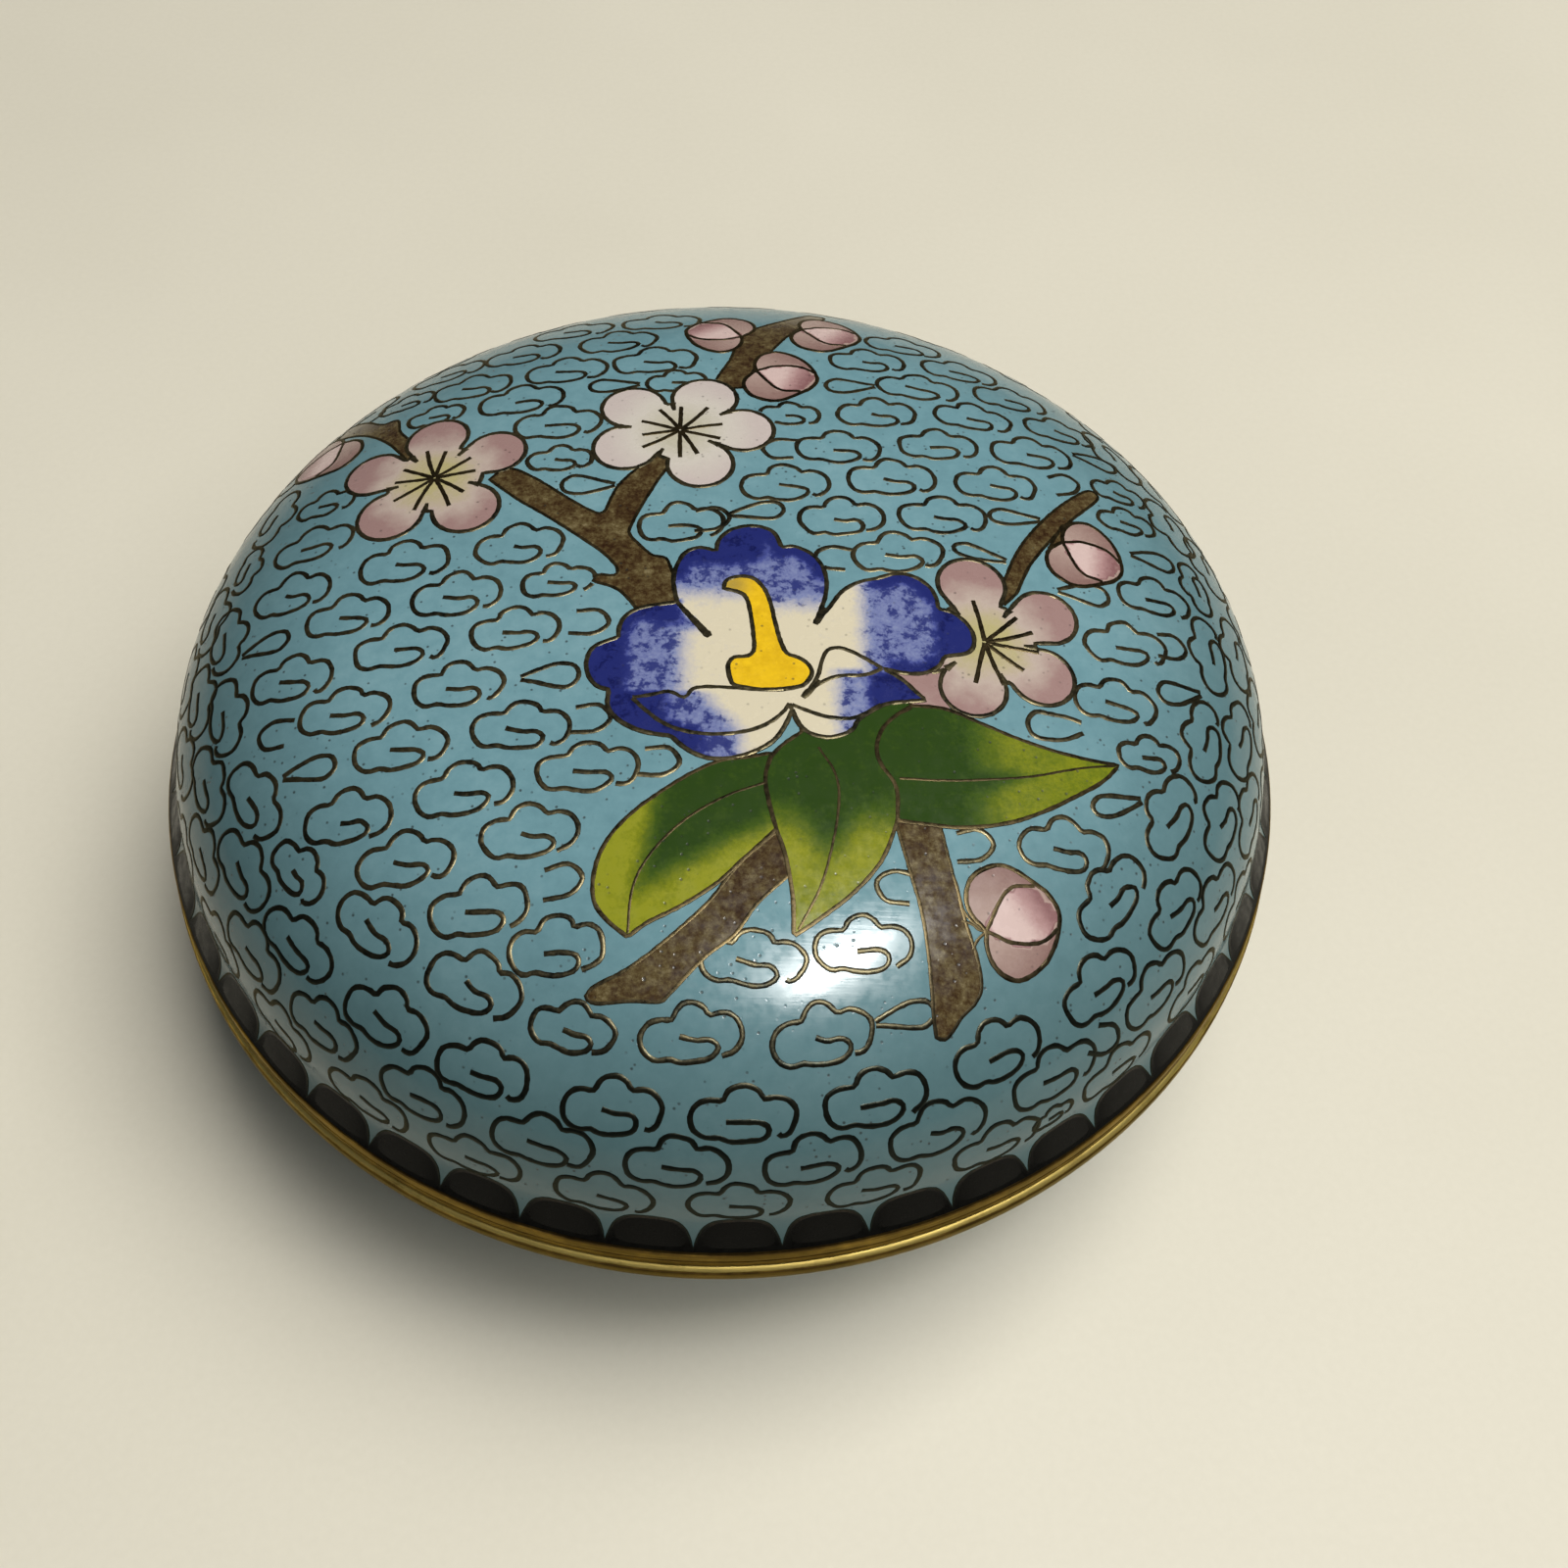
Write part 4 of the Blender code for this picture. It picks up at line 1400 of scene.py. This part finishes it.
def corolla_enamel():
    """White to deep blue, through a band of pale blue with dark blots."""
    paint = Paint("corolla_enamel")
    blots = paint.noise(1.25, 4.0, 0.60, distortion=0.3)
    grain = paint.noise(0.30, 3.0, 0.6)
    tone = paint.tone()
    haze = paint.shifted(paint.shifted(tone, blots, 0.30), grain, 0.30)
    color = paint.ramp(haze, [(0.04, (0.66, 0.61, 0.47)), (0.26, (0.50, 0.49, 0.51)),
                              (0.52, (0.20, 0.24, 0.45)), (0.74, (0.060, 0.078, 0.30)),
                              (0.94, (0.006, 0.009, 0.085))])
    spots = paint.between(paint.shifted(paint.blend(blots, grain, 0.25), tone, 0.22), 0.50, 0.60)
    spots = paint.sum("MULTIPLY", spots, paint.between(tone, 0.12, 0.50, 0.0, 0.85))
    color = paint.mix(spots, color, (0.017, 0.025, 0.165))
    return glassy(paint, color, 0.35, (0.18, 0.30))


def pistil_enamel():
    paint = Paint("pistil_enamel")
    fine = paint.noise(0.8, 4.0, 0.6)
    yellow = paint.ramp(fine, [(0.3, (0.66, 0.41, 0.010)), (0.7, (0.84, 0.55, 0.016))])
    color = paint.mix(paint.sum("MULTIPLY", paint.tone(), 0.85), yellow, (0.34, 0.25, 0.06))
    return glassy(paint, color, 0.6, (0.20, 0.32))


def leaf_enamel():
    paint = Paint("leaf_enamel")
    grained = paint.shifted(paint.tone(), paint.noise(0.34, 5.0, 0.75), 0.62)
    where = paint.shifted(grained, paint.noise(1.5, 4.0, 0.65), 0.55)
    color = paint.ramp(where, [(0.02, (0.024, 0.056, 0.009)), (0.30, (0.048, 0.092, 0.010)),
                               (0.58, (0.100, 0.142, 0.011)), (0.84, (0.195, 0.225, 0.012)),
                               (1.0, (0.265, 0.285, 0.020))])
    return glassy(paint, color, 0.6, (0.13, 0.23))


def branch_enamel():
    paint = Paint("branch_enamel")
    value = paint.blend(paint.noise(0.5, 6.0, 0.78), paint.noise(1.7, 4.0, 0.6), 0.4)
    color = paint.ramp(value, [(0.39, (0.028, 0.012, 0.005)), (0.48, (0.060, 0.037, 0.014)),
                               (0.57, (0.115, 0.088, 0.038)), (0.68, (0.24, 0.20, 0.11))])
    return glassy(paint, color, 0.7, (0.14, 0.26))


def wire_brass(name, dark, light, border_shade_color):
    """Tarnished wire: brass shows where it is rubbed; towards the border its colour darkens to
    painted shade.
    """
    paint = Paint(name, metallic=0.85)
    paint.shader.inputs["Specular Tint"].default_value = (0.62, 0.58, 0.48, 1.0)
    grain = paint.noise(0.5, 5.0, 0.7)
    value = paint.blend(grain, paint.noise(5.0, 2.0), 0.5)
    color = paint.ramp(value, [(0.38, dark), (0.62, light)])
    # painted shade: the wire's colour darkens towards the border
    color = paint.mix(paint.between(paint.distance_out(), 0.033, 0.047), color, border_shade_color)
    rough = paint.between(grain, 0.3, 0.7, 0.27, 0.43)
    return paint.finish(color, rough, paint.bump(grain, 0.02))


def rim_brass():
    """Old gilt brass: yellow where it is rubbed, olive brown and mottled elsewhere, and dark where
    the tone paints shade.
    """
    paint = Paint("gilt_brass", metallic=1.0)
    lines = paint.noise(1.2, 4.0, 0.6, paint.stretched(0.25, 0.25, 6.0))
    tarnish = paint.blend(lines, paint.noise(3.4, 5.0, 0.65), 0.6)
    # the tone carries both tarnish and painted shade
    grime_and_shade = paint.sum("ADD", paint.sum("MULTIPLY_ADD", paint.tone(), 0.9, -0.70),
                      paint.sum("MULTIPLY", tarnish, 1.6))
    color = paint.ramp(grime_and_shade, [(0.16, (0.88, 0.67, 0.20)), (0.42, (0.34, 0.226, 0.050)),
                               (0.57, (0.180, 0.115, 0.029)), (0.74, (0.090, 0.056, 0.018)),
                               (1.0, (0.032, 0.021, 0.009))])
    paint.shader.inputs["Specular Tint"].default_value = (0.90, 0.77, 0.50, 1.0)
    rough = paint.shifted(paint.between(paint.tone(), 0.0, 0.5, 0.42, 0.34), tarnish, 0.2)
    normal = paint.bump(lines, 0.02)
    normal = paint.bump(paint.noise(0.5, 3.0), 0.008, normal)
    return paint.finish(color, rough, normal)


def table_top():
    paint = Paint("pale_table")
    fine = paint.noise(0.8, 4.0)
    value = paint.blend(paint.noise(90.0, 3.0), fine, 0.3)
    color = paint.ramp(value, [(0.3, (0.67, 0.65, 0.56)), (0.7, (0.73, 0.71, 0.62))])
    return paint.finish(color, 0.55, paint.bump(fine, 0.01))


# The stage

CAMERA_DISTANCE = 3.2747 * RIM_RADIUS
CAMERA_ELEVATION = math.radians(53.737)
CAMERA_ROLL = math.radians(-0.128)
CAMERA_PAN = math.radians(-1.904)
CAMERA_TILT = math.radians(1.188)
CAMERA_LENS = 40.5
AIM = Vector((0.0, 0.0, SEAM - 0.55 * MM))
# Name, azimuth and elevation in degrees, distance, sides, power, color, and what it is left out of
LIGHTS = [
    ("ceiling_lamp", -34.5, 75.5, 1.5, (0.38, 0.15), 19.0, (1.0, 0.99, 0.97), "visible_diffuse"),
    ("soft_key", 18.0, 71.0, 1.3, (0.95, 0.85), 15.2, (1.0, 0.955, 0.87), "visible_glossy"),
    ("soft_fill", -38.0, 57.0, 1.3, (0.80, 0.80), 6.6, (1.0, 0.965, 0.90), "visible_glossy"),
]
SKY_COLOR = (0.84, 0.88, 0.92, 1.0)
SKY_STRENGTH = 0.055
TABLE_REACH = 3.0


def place_camera():
    """Aims the camera at AIM from in front and above, then turns it a little off that."""
    c, s = math.cos(CAMERA_ELEVATION), math.sin(CAMERA_ELEVATION)
    axes = Matrix(((1, 0, 0), (0, s, c), (0, c, -s)))
    right, up, forward = (Matrix.Rotation(CAMERA_ROLL, 3, "Z")
                          @ Matrix.Rotation(-CAMERA_TILT, 3, "X")
                          @ Matrix.Rotation(CAMERA_PAN, 3, "Y") @ axes)
    camera_data = bpy.data.cameras.new("camera")
    camera_data.lens = CAMERA_LENS
    camera_data.sensor_width = 36.0
    camera_data.clip_start = 0.005
    camera = placed("camera", camera_data)
    place = AIM + Vector((0.0, -c, s)) * CAMERA_DISTANCE
    columns = Matrix((right, up, -forward)).transposed()
    camera.matrix_world = Matrix.Translation(place) @ columns.to_4x4()
    bpy.context.scene.camera = camera


def area_light(name, azimuth, elevation, distance, size, power, color, unseen_by):
    """A rectangular light that faces the box."""
    data = bpy.data.lights.new(name, "AREA")
    data.shape = "RECTANGLE"
    data.size, data.size_y = size
    data.energy = power
    data.color = color
    light = placed(name, data)
    az, el = math.radians(azimuth), math.radians(elevation)
    out = Vector((math.cos(el) * math.cos(az), math.cos(el) * math.sin(az), math.sin(el)))
    light.location = AIM + out * distance
    light.rotation_euler = out.to_track_quat("Z", "Y").to_euler()
    setattr(light, unseen_by, False)


def light_stage():
    world = bpy.data.worlds.new("studio")
    world.use_nodes = True
    background = world.node_tree.nodes["Background"]
    background.inputs["Color"].default_value = SKY_COLOR
    background.inputs["Strength"].default_value = SKY_STRENGTH
    bpy.context.scene.world = world
    bpy.context.scene.view_settings.view_transform = "Standard"
    for light in LIGHTS:
        area_light(*light)


def lay_table():
    mesh = bpy.data.meshes.new("table")
    corners = [(x * TABLE_REACH, y * TABLE_REACH, 0.0)
               for x, y in ((-1, -1), (1, -1), (1, 1), (-1, 1))]
    mesh.from_pydata(corners, [], [(0, 1, 2, 3)])
    mesh.materials.append(table_top())
    table = placed("table", mesh)


def build_box():
    lid, base = lid_wall(), base_wall()
    ground = turquoise_enamel()
    lining = lining_enamel()
    brass = rim_brass()
    # The third colour of each wire is the painted shade it darkens to near the border
    dark_wire = wire_brass("tarnished_wire", (0.028, 0.028, 0.020), (0.155, 0.128, 0.068),
                           (0.014, 0.018, 0.015))
    thin_wire = wire_brass("brown_wire", (0.026, 0.021, 0.011), (0.105, 0.078, 0.036),
                           (0.020, 0.018, 0.012))
    black = black_enamel()
    paints = {
        "branch": branch_enamel(),
        "white_blossom": blossom_enamel("white_blossom_enamel", (0.48, 0.46, 0.37),
                                        (0.58, 0.55, 0.51), (0.53, 0.47, 0.46), 0.2),
        "pink_blossom": blossom_enamel("pink_blossom_enamel", (0.44, 0.40, 0.20),
                                       (0.48, 0.40, 0.36), (0.32, 0.205, 0.20), 0.4),
        "bud": bud_enamel(),
        "leaf": leaf_enamel(),
        "corolla": corolla_enamel(),
        "pistil": pistil_enamel(),
    }
    lid_shell(lid, ground, lining)
    base_shell(base, ground, lining)
    lid_rim(brass)
    base_rim(brass)
    foot_ring(brass)
    areas = picture_areas()
    build_enamel(lid, areas, paints)
    build_picture_wires(lid, areas, dark_wire, thin_wire)
    lid_ground_wires(lid, covers_above(areas, "ground"), dark_wire)
    border("lid", lid, black, dark_wire)
    border("base", base, black, dark_wire)
    base_ground_wires(base, dark_wire)


place_camera()
lay_table()
light_stage()
build_box()
